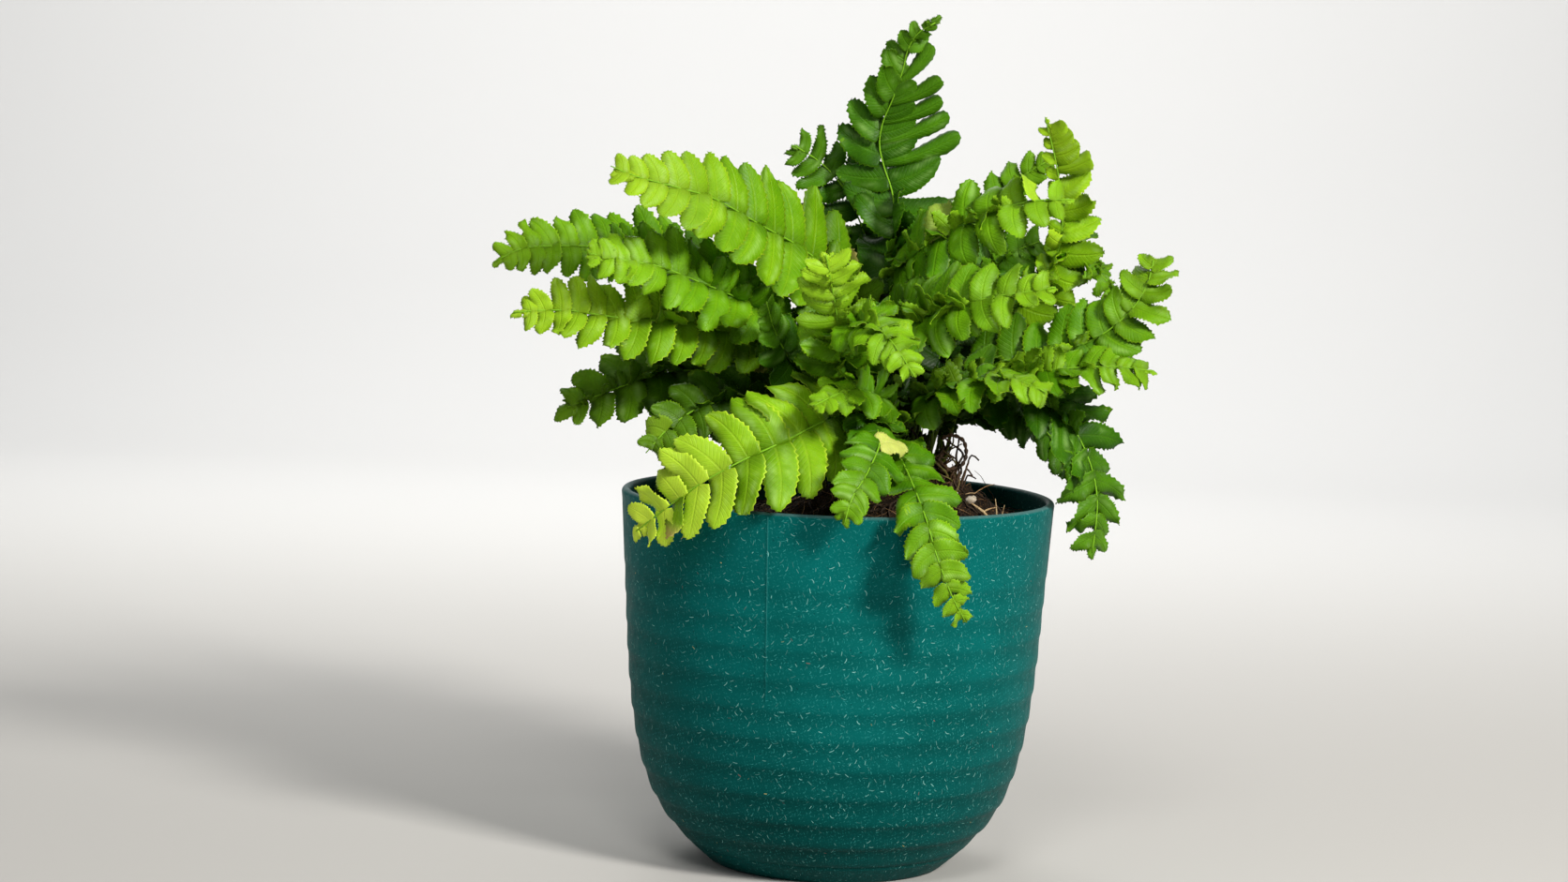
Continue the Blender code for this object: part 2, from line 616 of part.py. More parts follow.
def tube_faces(rings):
    """Triangles of a closed square tube with its points in rings of four."""
    faces = [(0, 1, 2), (0, 2, 3)]
    for low in range(0, 4 * (rings - 1), 4):
        for side in range(4):
            after = (side + 1) % 4
            faces.append((low + side, low + 4 + side, low + 4 + after))
            faces.append((low + side, low + 4 + after, low + after))
    end = 4 * (rings - 1)
    return faces + [(end + 2, end + 1, end), (end + 3, end + 2, end)]


class Space:
    """What already stands in the way, as search trees with their boxes."""

    def __init__(self):
        self.trees = []

    def add(self, key, points, faces):
        self.trees.append((key, *box_of(points), BVHTree.FromPolygons(points, faces)))

    def is_clear(self, points, faces, allowed):
        low, high = box_of(points)
        tree = None
        for key, other_low, other_high, other in self.trees:
            if key in allowed or not boxes_meet(low, high, other_low, other_high):
                continue
            tree = tree or BVHTree.FromPolygons(points, faces)
            if tree.overlap(other):
                return False
        return True


def box_of(points):
    return (tuple(min(point[axis] for point in points) for axis in range(3)),
            tuple(max(point[axis] for point in points) for axis in range(3)))


def boxes_meet(low, high, other_low, other_high):
    return all(low[axis] <= other_high[axis] and other_low[axis] <= high[axis] for axis in range(3))


def settle_leaves(frond, space):
    """Give each leaflet the smallest bend and trim that clears everything placed so far."""
    own = (frond.name, "rachis")
    for number in range(frond.first_leaf, len(frond.stations) - 1):
        for hand in (1, -1):
            allowed = {own, (frond.name, number - 1, hand)}
            for trim, bend in ((trim, bend) for trim in TRIMS for bend in BENDS):
                if frond.leaf_shape(number, hand, bend, trim)[1] < SHORTEST_LEAF:
                    continue
                slab = frond.slab(number, hand, bend, trim)
                if space.is_clear(*slab, allowed):
                    frond.leaves[number, hand] = (bend, trim)
                    space.add((frond.name, number, hand), *slab)
                    break


def frond_mesh(frond):
    """Points and triangles of a frond as one closed blade, cut to the rib between leaflets."""
    points, faces = [], []
    for number in range(len(frond.stations)):
        points += frond.ring(number)
    faces += [(0, 1, 2), (0, 2, 3)]
    for number in range(len(frond.stations) - 1):
        low, high = 4 * number, 4 * number + 4
        for side in range(4):
            after = (side + 1) % 4
            hand = {1: -1, 3: 1}.get(side)
            if (number, hand) in frond.leaves:
                add_leaf(points, faces, frond, number, hand)
                continue
            faces.append((low + side, high + side, high + after))
            faces.append((low + side, high + after, low + after))
    add_tip(points, faces, frond)
    return points, faces


def add_leaf(points, faces, frond, number, hand):
    """A leaflet in place of the rachis's side between two stations."""
    bend, trim = frond.leaves[number, hand]
    shape, _ = frond.leaf_shape(number, hand, bend, trim)
    low, high = 4 * number, 4 * number + 4
    top, bottom = (0, 3) if hand == 1 else (1, 2)
    ring = [low + top, high + top, high + bottom, low + bottom]
    half = LEAF_THICK / 2
    for near, far, normal in shape:
        start = len(points)
        points += [near + normal * half, far + normal * half, far - normal * half, near - normal * half]
        after = [start, start + 1, start + 2, start + 3]
        for side in range(4):
            pair = (side + 1) % 4
            add_alike(faces, ring, after, side, pair, hand)
        ring = after
    close(faces, ring, hand)


def add_alike(faces, ring, after, side, pair, hand):
    """Two triangles of a leaflet's side, split alike on its upper and lower faces."""
    one, two, three, four = ring[side], ring[pair], after[pair], after[side]
    if side == 2:
        pieces = [(one, two, four), (two, three, four)]
    else:
        pieces = [(one, two, three), (one, three, four)]
    for piece in pieces:
        faces.append(piece if hand == -1 else tuple(reversed(piece)))


def close(faces, ring, hand):
    pieces = [(ring[0], ring[1], ring[2]), (ring[0], ring[2], ring[3])]
    for piece in pieces:
        faces.append(piece if hand == -1 else tuple(reversed(piece)))


def add_tip(points, faces, frond):
    """The last leaflet, closing the end of the rib."""
    end = 4 * (len(frond.stations) - 1)
    order = list(range(end, end + 4))
    rings = frond.tip_rings()
    for corners in rings:
        order += range(len(points), len(points) + 4)
        points += corners
    faces += [tuple(order[corner] for corner in face) for face in tube_faces(len(rings) + 1)[2:]]


# Crown

def back_fronds():
    """Specs of the fronds behind the crown, each arching out over its heading."""
    draw = random.Random(SEED)
    specs = {}
    for number, kind in enumerate(BACK_ROW):
        shape = BACK_KINDS[kind]
        share = number / (len(BACK_ROW) - 1)
        angle = math.radians(BACK_FIRST + (BACK_LAST - BACK_FIRST) * share)
        out = Vector((math.cos(angle), math.sin(angle), 0))
        lift = draw.uniform(-BACK_HEIGHT_DRAW, BACK_HEIGHT_DRAW)
        reach = shape["reach"] + draw.uniform(-BACK_REACH_DRAW, BACK_REACH_DRAW)
        path = [arch_point(out, place, reach, shape, lift) for place in (shape["bare"], *BACK_SHARES)]
        specs[f"frond_back_{number + 1}"] = dict(
            path=path, face=out * BACK_OUTWARD + Vector((0, 0, shape["steep"])),
            leaflet=shape["leaflet"], pitch=BACK_PITCH, lean=14, droop=9, ring=shape["ring"],
            tone=shape["tone"], plain=True)
    return specs


def arch_point(out, share, reach, shape, lift):
    """A point of a back frond: it rises from the crown, crests and comes down to its tip."""
    ground = SOIL_EDGE + MOUND_HEIGHT
    rise = 1 - max(0.0, 1 - share / CREST_PLACE) ** 2
    fall = max(0.0, (share - FALL_START) / (1 - FALL_START)) ** FALL_POWER
    height = ground + (shape["crest"] - ground) * rise + (shape["tip"] - shape["crest"]) * fall + lift
    place = Vector((*MOUND_CENTRE, 0)) + out * reach * share
    return (place.x, place.y, height)


def place_roots(specs):
    """Root places in the crown: each towards its frond, then pushed apart to their spacing."""
    roots = []
    for spec in specs.values():
        entry = Vector(spec["path"][1][:2]) - Vector(MOUND_CENTRE)
        away = CROWN_CORE + CROWN_WIDTH * spec["ring"]
        roots.append(Vector(MOUND_CENTRE) + entry.normalized() * away)
    for _ in range(SPREAD_ROUNDS):
        for root in roots:
            apart = root - Vector(STUB_PLACE)
            short = ROOT_SPACING + STUB_RADIUS - apart.length
            root += apart.normalized() * max(0.0, short)
        for number, root in enumerate(roots):
            for other in roots[:number]:
                apart = root - other
                push = apart.normalized() * max(0.0, ROOT_SPACING - apart.length) / 2
                root += push
                other -= push
    return dict(zip(specs, roots))


def add_fronds(obstacles):
    """All fronds as objects, clear of the obstacles, and the sockets that they stand in."""
    specs = {**FRONDS, **back_fronds()}
    roots = place_roots(specs)
    fronds = [Frond(name, spec, roots[name]) for name, spec in specs.items()]
    space = Space()
    for piece in obstacles:
        space.add(piece.name, [vert.co / MM for vert in piece.data.vertices],
                  [face.vertices for face in piece.data.polygons])
    for frond in fronds:
        space.add((frond.name, "rachis"), *frond.rachis_solid())
    sockets = []
    for frond in fronds:
        settle_leaves(frond, space)
        colour = TONES[frond.spec["tone"]]
        add_object(frond.name, *frond_mesh(frond), material(frond.name.replace("_", " "), colour, 0.45))
        point, tangent, side, up = frond.path.frame_at(0.0)
        turn = Matrix((up, side, tangent)).transposed().to_4x4()
        sockets.append((Matrix.Translation(point) @ turn, STIPE_HALF, 4))
    return sockets


# Old stipes

def wire(draw, base, heading):
    """Points and faces of one thin bare stipe, rising from the stub and bent over."""
    reach, height = draw.uniform(*WIRE_REACH), draw.uniform(*WIRE_HEIGHT)
    out = Vector((math.cos(heading), math.sin(heading), 0))
    bends = (*WIRE_BEND, [draw.uniform(*span) for span in WIRE_END])
    route = [base] + [base + out * reach * far + Vector((0, 0, height * high)) for far, high in bends]
    path = Path(route)
    thick, loss = WIRE_TAPER
    points = []
    for share in WIRE_PLACES:
        point, _, side, up = path.frame_at(share * path.length)
        half = WIRE_HALF * (thick - loss * share)
        points += [point + side * half * across + up * half * high for across, high in CORNERS]
    return points, tube_faces(len(points) // 4)


def add_old_stipes():
    """The stub and its wires joined in one solid, and the stub's socket."""
    draw = random.Random(WIRE_SEED)
    finish = material("dead stipes", (0.06, 0.035, 0.012), 0.7)
    ground = soil_height(*STUB_PLACE)
    place = Matrix.Translation((*STUB_PLACE, ground - HOLE_DEPTH))
    height = HOLE_DEPTH + STUB_RISE
    body = post(place, STUB_RADIUS, STUB_SIDES, 0.0, height, STUB_RADIUS * STUB_TAPER)
    stub = add_object("old_stipes", *body, finish)
    wires = bpy.data.collections.new("wires")
    for number in range(WIRE_COUNT):
        heading = math.tau * (number + draw.uniform(-0.3, 0.3)) / WIRE_COUNT
        start = Vector((math.cos(heading), math.sin(heading), 0)) * STUB_RADIUS * WIRE_RING
        base = place @ (start + Vector((0, 0, height - WIRE_SUNK)))
        add_object("wire", *wire(draw, base, heading), finish, wires)
    union = stub.modifiers.new("join", "BOOLEAN")
    union.operation = "UNION"
    union.solver = "MANIFOLD"          # EXACT leaves an open seam where two wires cross
    union.operand_type = "COLLECTION"
    union.collection = wires
    bake(stub, wires)
    return stub, (place, STUB_RADIUS, STUB_SIDES)


def main():
    for thing in list(bpy.data.objects):
        bpy.data.objects.remove(thing)
    pot = add_pot()
    old_stipes, stub_socket = add_old_stipes()
    sockets = add_fronds((pot, old_stipes))
    add_soil(sockets + [stub_socket])


main()
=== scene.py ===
# Potted fern: the finish of its pot, its soil, its dead stipes and every frond.
# Shapes are worked out in millimetres, with +Z up, and become metres in their meshes.

import json
import math
import random

import bpy
import numpy as np
from mathutils import Matrix, Vector, geometry, noise
from mathutils.bvhtree import BVHTree

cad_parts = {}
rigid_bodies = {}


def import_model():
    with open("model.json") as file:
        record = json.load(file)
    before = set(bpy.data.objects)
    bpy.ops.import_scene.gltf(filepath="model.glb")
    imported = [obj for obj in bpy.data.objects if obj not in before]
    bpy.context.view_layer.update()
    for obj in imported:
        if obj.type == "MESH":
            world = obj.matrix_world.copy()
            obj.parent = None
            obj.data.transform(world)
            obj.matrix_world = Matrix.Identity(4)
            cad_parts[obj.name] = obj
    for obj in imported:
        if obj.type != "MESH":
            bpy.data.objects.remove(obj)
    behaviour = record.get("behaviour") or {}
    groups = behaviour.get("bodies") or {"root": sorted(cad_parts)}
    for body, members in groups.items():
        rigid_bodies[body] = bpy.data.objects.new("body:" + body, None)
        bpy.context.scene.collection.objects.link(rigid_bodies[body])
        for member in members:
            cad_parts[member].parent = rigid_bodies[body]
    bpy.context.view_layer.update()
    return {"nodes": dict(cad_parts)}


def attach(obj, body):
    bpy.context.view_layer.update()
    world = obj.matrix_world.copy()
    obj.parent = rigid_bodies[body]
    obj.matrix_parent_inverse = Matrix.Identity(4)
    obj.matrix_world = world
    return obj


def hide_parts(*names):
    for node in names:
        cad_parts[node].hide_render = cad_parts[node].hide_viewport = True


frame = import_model()
mm = 0.001


# Camera, floor and light

studio = {
    "cameraPlace": (-0.0194, -1.2, 0.2553),
    "lookDown": 5.19,          # degrees below level
    "roll": 2.04,
    "lens": 79.8,
    "sensor": 36.0,
    "floorColour": (0.50, 0.49, 0.47),
    "backdropColour": (0.74, 0.74, 0.735),
    "floorTurns": (0.2, 1.6),    # where the floor's colour goes over into the backdrop's
    "floorFront": -2.2,
    "floorBack": 1.35,
    "backdropRadius": 0.7,
    "backdropSteps": 16,
    "backdropTop": 2.4,
    "floorHalf": 2.4,
    "skyColour": (0.96, 0.98, 1.0),
    "skyStrength": 0.10,
    "lights": {
        "key": dict(place=(0.84, -1.00, 0.88), aim=(0, 0, 0.15), size=0.30, power=28.0,
                    colour=(1.0, 0.97, 0.92)),
        "front": dict(place=(-0.10, -1.15, 1.30), aim=(0, 0, 0.15), size=0.50, power=9.0,
                      colour=(1.0, 0.98, 0.95)),
        "fill": dict(place=(-1.1, -0.9, 0.6), aim=(0, 0, 0.15), size=1.0, power=1.6,
                     colour=(0.92, 0.96, 1.0)),
        "rim": dict(place=(-0.3, 1.0, 1.0), aim=(0, 0, 0.15), size=0.7, power=4.0,
                    colour=(1.0, 1.0, 0.97)),
        "backdrop": dict(place=(0.0, 0.80, 1.3), aim=(0, 1.85, 0.5), size=1.2, power=19.0,
                         colour=(1.0, 1.0, 1.0)),
    },
}


def addCamera():
    data = bpy.data.cameras.new("camera")
    data.lens = studio["lens"]
    data.sensor_width = studio["sensor"]
    camera = bpy.data.objects.new("camera", data)
    bpy.context.scene.collection.objects.link(camera)
    down = Matrix.Rotation(math.radians(90 - studio["lookDown"]), 4, "X")
    roll = Matrix.Rotation(math.radians(studio["roll"]), 4, "Z")
    camera.matrix_world = Matrix.Translation(studio["cameraPlace"]) @ down @ roll
    bpy.context.scene.camera = camera


def addFloor():
    back, radius, top = studio["floorBack"], studio["backdropRadius"], studio["backdropTop"]
    line = [(studio["floorFront"], 0.0), (back, 0.0)]
    for step in range(1, studio["backdropSteps"] + 1):
        angle = math.pi / 2 * step / studio["backdropSteps"]
        line.append((back + radius * math.sin(angle), radius * (1 - math.cos(angle))))
    line.append((back + radius, top))
    half = studio["floorHalf"]
    points = [(side, y, z) for y, z in line for side in (-half, half)]
    faces = [(2 * n, 2 * n + 1, 2 * n + 3, 2 * n + 2) for n in range(len(line) - 1)]
    mesh = bpy.data.meshes.new("floor")
    mesh.from_pydata(points, [], faces)
    mesh.shade_smooth()
    floor = bpy.data.objects.new("floor", mesh)
    bpy.context.scene.collection.objects.link(floor)
    paper, shader = newMaterial("pale floor")
    tree = paper.node_tree
    place = addNode(tree, "ShaderNodeSeparateXYZ",
                    {"Vector": addNode(tree, "ShaderNodeTexCoord").outputs["Object"]}).outputs
    share = between(tree, place["Y"], *studio["floorTurns"])
    tree.links.new(blendColour(tree, share, studio["floorColour"], studio["backdropColour"]),
                   shader.inputs["Base Color"])
    shader.inputs["Roughness"].default_value = 0.9
    mesh.materials.append(paper)


def addLights():
    world = bpy.data.worlds.new("studio")
    world.use_nodes = True
    sky = world.node_tree.nodes["Background"]
    sky.inputs["Color"].default_value = (*studio["skyColour"], 1)
    sky.inputs["Strength"].default_value = studio["skyStrength"]
    bpy.context.scene.world = world
    for name, settings in studio["lights"].items():
        data = bpy.data.lights.new(name, "AREA")
        data.size = settings["size"]
        data.energy = settings["power"]
        data.color = settings["colour"]
        light = bpy.data.objects.new(name, data)
        light.location = settings["place"]
        aim = Vector(settings["aim"]) - light.location
        light.rotation_euler = aim.to_track_quat("-Z", "Y").to_euler()
        bpy.context.scene.collection.objects.link(light)
    bpy.context.scene.view_settings.view_transform = "Standard"


# Small tools for materials

def newMaterial(name):
    material = bpy.data.materials.new(name)
    material.use_nodes = True
    return material, material.node_tree.nodes["Principled BSDF"]


def addNode(tree, kind, inputs=(), **settings):
    made = tree.nodes.new(kind)
    for name, value in settings.items():
        setattr(made, name, value)
    for name, value in dict(inputs).items():
        if isinstance(value, bpy.types.NodeSocket):
            tree.links.new(value, made.inputs[name])
        else:
            made.inputs[name].default_value = value
    return made


def calc(tree, operation, first, second=0.0, third=0.0, clamp=False):
    values = {0: first, 1: second, 2: third}
    return addNode(tree, "ShaderNodeMath", values, operation=operation, use_clamp=clamp).outputs[0]


def between(tree, value, low, high, start=0.0, end=1.0):
    values = {"Value": value, "From Min": low, "From Max": high, "To Min": start, "To Max": end}
    return addNode(tree, "ShaderNodeMapRange", values, interpolation_type="SMOOTHSTEP").outputs[0]


def blendColour(tree, share, first, second, kind="MIX"):
    mix = addNode(tree, "ShaderNodeMix", data_type="RGBA", blend_type=kind)
    for place, value in ((0, share), (6, first), (7, second)):
        if isinstance(value, bpy.types.NodeSocket):
            tree.links.new(value, mix.inputs[place])
        elif place:
            mix.inputs[place].default_value = (*value[:3], 1)
        else:
            mix.inputs[place].default_value = value
    return mix.outputs[2]


def newGroup(name, inputs, outputs):
    tree = bpy.data.node_groups.new(name, "ShaderNodeTree")
    for label, (kind, value) in inputs.items():
        socket = tree.interface.new_socket(label, in_out="INPUT", socket_type=kind)
        if value is not None:
            socket.default_value = value
    for label, kind in outputs.items():
        tree.interface.new_socket(label, in_out="OUTPUT", socket_type=kind)
    return tree, tree.nodes.new("NodeGroupInput").outputs, tree.nodes.new("NodeGroupOutput").inputs


def useGroup(tree, group, inputs):
    made = tree.nodes.new("ShaderNodeGroup")
    made.node_tree = group
    for name, value in inputs.items():
        if isinstance(value, bpy.types.NodeSocket):
            tree.links.new(value, made.inputs[name])
        else:
            made.inputs[name].default_value = value
    return made.outputs


def bumpInto(tree, shader, height, distance, strength=1.0):
    bump = addNode(tree, "ShaderNodeBump", {"Height": height, "Distance": distance, "Strength": strength})
    tree.links.new(bump.outputs[0], shader.inputs["Normal"])


grainFiner = 9.0    # how many times finer the mottle's grain is than its cloud


def makeMottleGroup():
    # two sizes of soft cloud, from 0 to 1
    tree, given, result = newGroup(
        "mottle",
        {"Scale": ("NodeSocketFloat", 60.0), "Contrast": ("NodeSocketFloat", 1.6)},
        {"Cloud": "NodeSocketFloat", "Grain": "NodeSocketFloat"})
    place = addNode(tree, "ShaderNodeTexCoord").outputs["Object"]
    cloud = addNode(tree, "ShaderNodeTexNoise", {"Vector": place, "Scale": given["Scale"], "Detail": 3.0})
    fine = calc(tree, "MULTIPLY", given["Scale"], grainFiner)
    grain = addNode(tree, "ShaderNodeTexNoise", {"Vector": place, "Scale": fine, "Detail": 4.0})
    for noiseNode, label in ((cloud, "Cloud"), (grain, "Grain")):
        centred = calc(tree, "SUBTRACT", noiseNode.outputs["Fac"], 0.5)
        spread = calc(tree, "MULTIPLY_ADD", centred, given["Contrast"], 0.5, clamp=True)
        tree.links.new(spread, result[label])
    return tree


fleck = {
    "scatter": (0.35, 0.30),   # where in its cell a fibre's middle may lie: from, and how far on
    "halfLength": (0.15, 0.35),    # least, and how much more the longest have
    "bend": 2.0,
    "sideFade": (0.6, 1.4),
    "endFade": (0.7, 1.1),
    "pickTurns": 37.0,         # makes a second draw of a cell's first one
}


def makeFleckGroup():
    # short bent fibres scattered over an unwrapped surface, one in each square cell at most
    tree, given, result = newGroup(
        "flecks",
        {"Place": ("NodeSocketVector", None), "Cell": ("NodeSocketFloat", 0.003),
         "Length": ("NodeSocketFloat", 0.4), "Width": ("NodeSocketFloat", 0.08),
         "Share": ("NodeSocketFloat", 0.7), "Seed": ("NodeSocketFloat", 0.0)},
        {"Mask": "NodeSocketFloat", "Pick": "NodeSocketFloat"})
    turned = addNode(tree, "ShaderNodeVectorRotate",
                     {"Vector": given["Place"], "Angle": given["Seed"]}, rotation_type="Z_AXIS")
    cell = addNode(tree, "ShaderNodeCombineXYZ", {"X": given["Cell"], "Y": given["Cell"], "Z": 1.0})
    scaled = addNode(tree, "ShaderNodeVectorMath",
                     {0: turned.outputs[0], 1: cell.outputs[0]}, operation="DIVIDE").outputs[0]
    corner = addNode(tree, "ShaderNodeVectorMath", {0: scaled}, operation="FLOOR").outputs[0]
    draw = addNode(tree, "ShaderNodeTexWhiteNoise",
                   {"Vector": corner, "W": given["Seed"]}, noise_dimensions="4D")
    inside = addNode(tree, "ShaderNodeVectorMath", {0: scaled}, operation="FRACTION").outputs[0]
    least, more = fleck["scatter"]
    shift = addNode(tree, "ShaderNodeVectorMath",
                    {0: draw.outputs["Color"], 1: (more, more, more), 2: (least, least, least)},
                    operation="MULTIPLY_ADD").outputs[0]
    local = addNode(tree, "ShaderNodeVectorMath", {0: inside, 1: shift}, operation="SUBTRACT").outputs[0]
    angle = calc(tree, "MULTIPLY", draw.outputs["Value"], math.tau)
    along = addNode(tree, "ShaderNodeVectorRotate",
                    {"Vector": local, "Angle": angle}, rotation_type="Z_AXIS").outputs[0]
    parts = addNode(tree, "ShaderNodeSeparateXYZ", {"Vector": along}).outputs
    picks = addNode(tree, "ShaderNodeSeparateColor", {"Color": draw.outputs["Color"]}).outputs
    bend = calc(tree, "MULTIPLY", calc(tree, "MULTIPLY", parts["X"], parts["X"]),
                calc(tree, "MULTIPLY_ADD", picks["Red"], fleck["bend"], -fleck["bend"] / 2))
    sideways = calc(tree, "ABSOLUTE", calc(tree, "ADD", parts["Y"], bend))
    lengthways = calc(tree, "ABSOLUTE", parts["X"])
    least, more = fleck["halfLength"]
    halfLength = calc(tree, "MULTIPLY", given["Length"],
                      calc(tree, "MULTIPLY_ADD", picks["Green"], more, least))
    halfWidth = calc(tree, "MULTIPLY", given["Width"], 0.5)
    thin = between(tree, calc(tree, "DIVIDE", sideways, halfWidth), *fleck["sideFade"], 1.0, 0.0)
    ends = between(tree, calc(tree, "DIVIDE", lengthways, halfLength), *fleck["endFade"], 1.0, 0.0)
    there = calc(tree, "LESS_THAN", picks["Blue"], given["Share"])
    mask = calc(tree, "MULTIPLY", calc(tree, "MULTIPLY", thin, ends), there)
    tree.links.new(mask, result["Mask"])
    second = calc(tree, "MULTIPLY", picks["Blue"], fleck["pickTurns"])
    tree.links.new(calc(tree, "FRACT", second), result["Pick"])
    return tree


mottle = makeMottleGroup()
flecks = makeFleckGroup()


def vectorAttribute(tree, name):
    found = addNode(tree, "ShaderNodeAttribute", attribute_name=name)
    return found.outputs["Vector"]


# Small tools for meshes

def addMesh(name, points, faces, materials, places=(), kinds=None, node=None):
    # places maps an attribute's name to one vector for each point, or for each face corner
    mesh = bpy.data.meshes.new(name)
    points = np.asarray(points, dtype=float) * mm
    mesh.from_pydata(points.tolist(), [], faces)
    for material in materials:
        mesh.materials.append(material)
    if kinds is not None:
        mesh.polygons.foreach_set("material_index", kinds)
    for label, vectors in dict(places).items():
        domain = "POINT" if len(vectors) == len(points) else "CORNER"
        made = mesh.attributes.new(label, "FLOAT_VECTOR", domain)
        made.data.foreach_set("vector", np.asarray(vectors, dtype=np.float32).ravel())
    mesh.shade_smooth()
    piece = bpy.data.objects.new(name, mesh)
    bpy.context.scene.collection.objects.link(piece)
    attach(piece, "root")
    if node:
        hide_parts(node)
    return piece


def tubeMesh(line, radii, sides):
    # a closed round tube round a line of points, with frames carried along it
    line = [Vector(point) for point in line]
    count = len(line)
    tangents = [(line[min(n + 1, count - 1)] - line[max(n - 1, 0)]).normalized() for n in range(count)]
    up = tangents[0].orthogonal().normalized()
    points, faces = [], []
    for number, (point, tangent) in enumerate(zip(line, tangents)):
        if number:
            up = tangents[number - 1].rotation_difference(tangent) @ up
        side = tangent.cross(up)
        for corner in range(sides):
            angle = math.tau * corner / sides
            points.append(point + (up * math.cos(angle) + side * math.sin(angle)) * radii[number])
    for ring in range(count - 1):
        for corner in range(sides):
            after = (corner + 1) % sides
            low, high = ring * sides, (ring + 1) * sides
            faces.append((low + corner, high + corner, high + after, low + after))
    last = (count - 1) * sides
    faces.append(tuple(range(sides)))
    faces.append(tuple(last + corner for corner in reversed(range(sides))))
    return points, faces


class Gathered:
    # points and faces of several shapes for one mesh

    def __init__(self):
        self.points, self.faces, self.kinds, self.count = [], [], [], 0
        self.places = {}

    def add(self, points, faces, kind=0, **places):
        self.points.append(np.asarray([tuple(point) for point in points], dtype=float))
        self.faces += [tuple(corner + self.count for corner in face) for face in faces]
        self.kinds += [kind] * len(faces)
        self.count += len(points)
        for label, vectors in places.items():
            self.places.setdefault(label, []).append(np.asarray(vectors, dtype=float))

    def piece(self, name, materials, slot, node=None):
        places = {label: np.concatenate(vectors) for label, vectors in self.places.items()}
        return addMesh(name, np.concatenate(self.points), self.faces, materials, places,
                       self.kinds, node)


# Pot

pot = {
    "sides": 240,
    "wallSteps": 60,
    "ringStep": 0.85,
    "rimRadius": 75.0,
    "rimHeight": 129.0,
    "wall": 3.0,
    "floor": 4.0,
    "foot": (41.0, 0.5),
    "footLine": ((8.0, 0.6), (6.5, 0.0), (1.2, 0.0)),    # in from the foot's radius, and height
    "footHandle": (59.0, 16.0),
    "shoulderHandle": (68.2, 23.0),
    "shoulder": (71.9, 80.0),
    "lipStart": 3.0,           # how far before the wall's end the round lip starts
    "lipTurn": 190,            # degrees that the lip turns through, and how many at a time
    "lipStep": 15,
    "lipLow": 1.5,             # from here up the wall is lip
    "insideStops": (134, 126, 112, 100, 85, 70, 58, 46, 36, 27, 20, 14),    # distances up the wall
    "insideCorner": 5.0,
    "axis": 0.001,             # radius of the small ring that closes the pot at its middle
    "ridgeFirst": 11.0,
    "ridgePitch": 10.2,
    "ridgeCount": 11,
    "ridgeLow": 0.56,
    "ridgeFade": 175.0,
    "ridgeLeast": 0.25,
    "ridgeUnder": 0.24,        # share of the spacing that the ridge's underside takes
    "partingAngle": 251.5,     # degrees round from +X, of the thin line left by the mould
    "partingWidth": 0.24,
    "partingProud": 0.6,       # share of that width which stands proud, to each side
    "partingHeight": 0.07,
    "partingLow": 66.0,
    "partingFade": 30.0,
    "partingPale": 0.3,
    "teal": (0.0006, 0.086, 0.080),
    "tealLight": (0.0008, 0.118, 0.112),
    "grooveShade": 0.31,       # how much darker the wall is under a ridge, as painted shade
    "footShade": (0.0, 95.0, 0.50),    # painted shade: from and up to which height the wall is darker, and how much
    "grooveReach": (0.35, 1.0),
    "lipWorn": (1.1, 0.2, 0.55),    # from and up to how far under the top the lip is pale, and how much
    "partingColour": (0.05, 0.26, 0.25),
    "shadeColour": (0.0, 0.012, 0.010),
    "lipColour": (0.10, 0.17, 0.17),
    "roughness": (0.40, 0.16),
    "fleckFaint": 1.6,         # the higher, the fewer flecks are bright
    "fleckLeast": 0.15,
    "fleckLayers": (           # cell in mm, length and width in cells, share of cells, seed, colour, amount
        (1.15, 0.85, 0.130, 0.60, 1.3, (0.03, 0.32, 0.30), 0.60),
        (1.60, 0.85, 0.100, 0.60, 2.9, (0.07, 0.40, 0.38), 0.70),
        (2.60, 0.85, 0.075, 0.40, 4.1, (0.28, 0.62, 0.57), 0.80),
        (0.85, 0.60, 0.170, 0.45, 5.7, (0.01, 0.20, 0.19), 0.50),
        (2.5, 0.35, 0.140, 0.30, 7.2, (0.001, 0.03, 0.03), 0.80),
        (9.0, 0.17, 0.032, 0.08, 8.8, (0.36, 0.13, 0.11), 0.80),
        (10.0, 0.17, 0.030, 0.08, 9.9, (0.62, 0.55, 0.20), 0.80),
    ),
}


def wallLine():
    corners = [Vector((*pot[key], 0)) for key in ("foot", "footHandle", "shoulderHandle", "shoulder")]
    steps = pot["wallSteps"]
    curve = geometry.interpolate_bezier(*corners, steps)
    top = Vector((pot["rimRadius"], pot["rimHeight"], 0))
    return curve + [corners[3].lerp(top, step / steps) for step in range(1, steps + 1)]


def atDistance(line, distance):
    for start, end in zip(line, line[1:]):
        span = (end - start).length
        if distance <= span or end is line[-1]:
            way = (end - start) / span
            return start + way * distance, Vector((way.y, -way.x, 0))
        distance -= span


def ridgeAt(distance, height):
    # over a crest the wall falls back slowly, and under it steeply
    turn = (distance - pot["ridgeFirst"]) / pot["ridgePitch"]
    if turn < -pot["ridgeUnder"] or turn > pot["ridgeCount"] - 1:
        return 0.0
    depth = pot["ridgeLow"] * max(pot["ridgeLeast"], 1 - height / pot["ridgeFade"])
    above, slow = turn % 1.0, 1 - pot["ridgeUnder"]
    back = above / slow if above < slow else (1 - above) / pot["ridgeUnder"]
    return -depth * (1 - math.cos(math.pi * back)) / 2


def footLine():
    # from the pot's axis to the start of its wall, on the underside
    line = [(pot["foot"][0] - inward, height) for inward, height in pot["footLine"]]
    return [(pot["axis"], line[0][1]), *line]


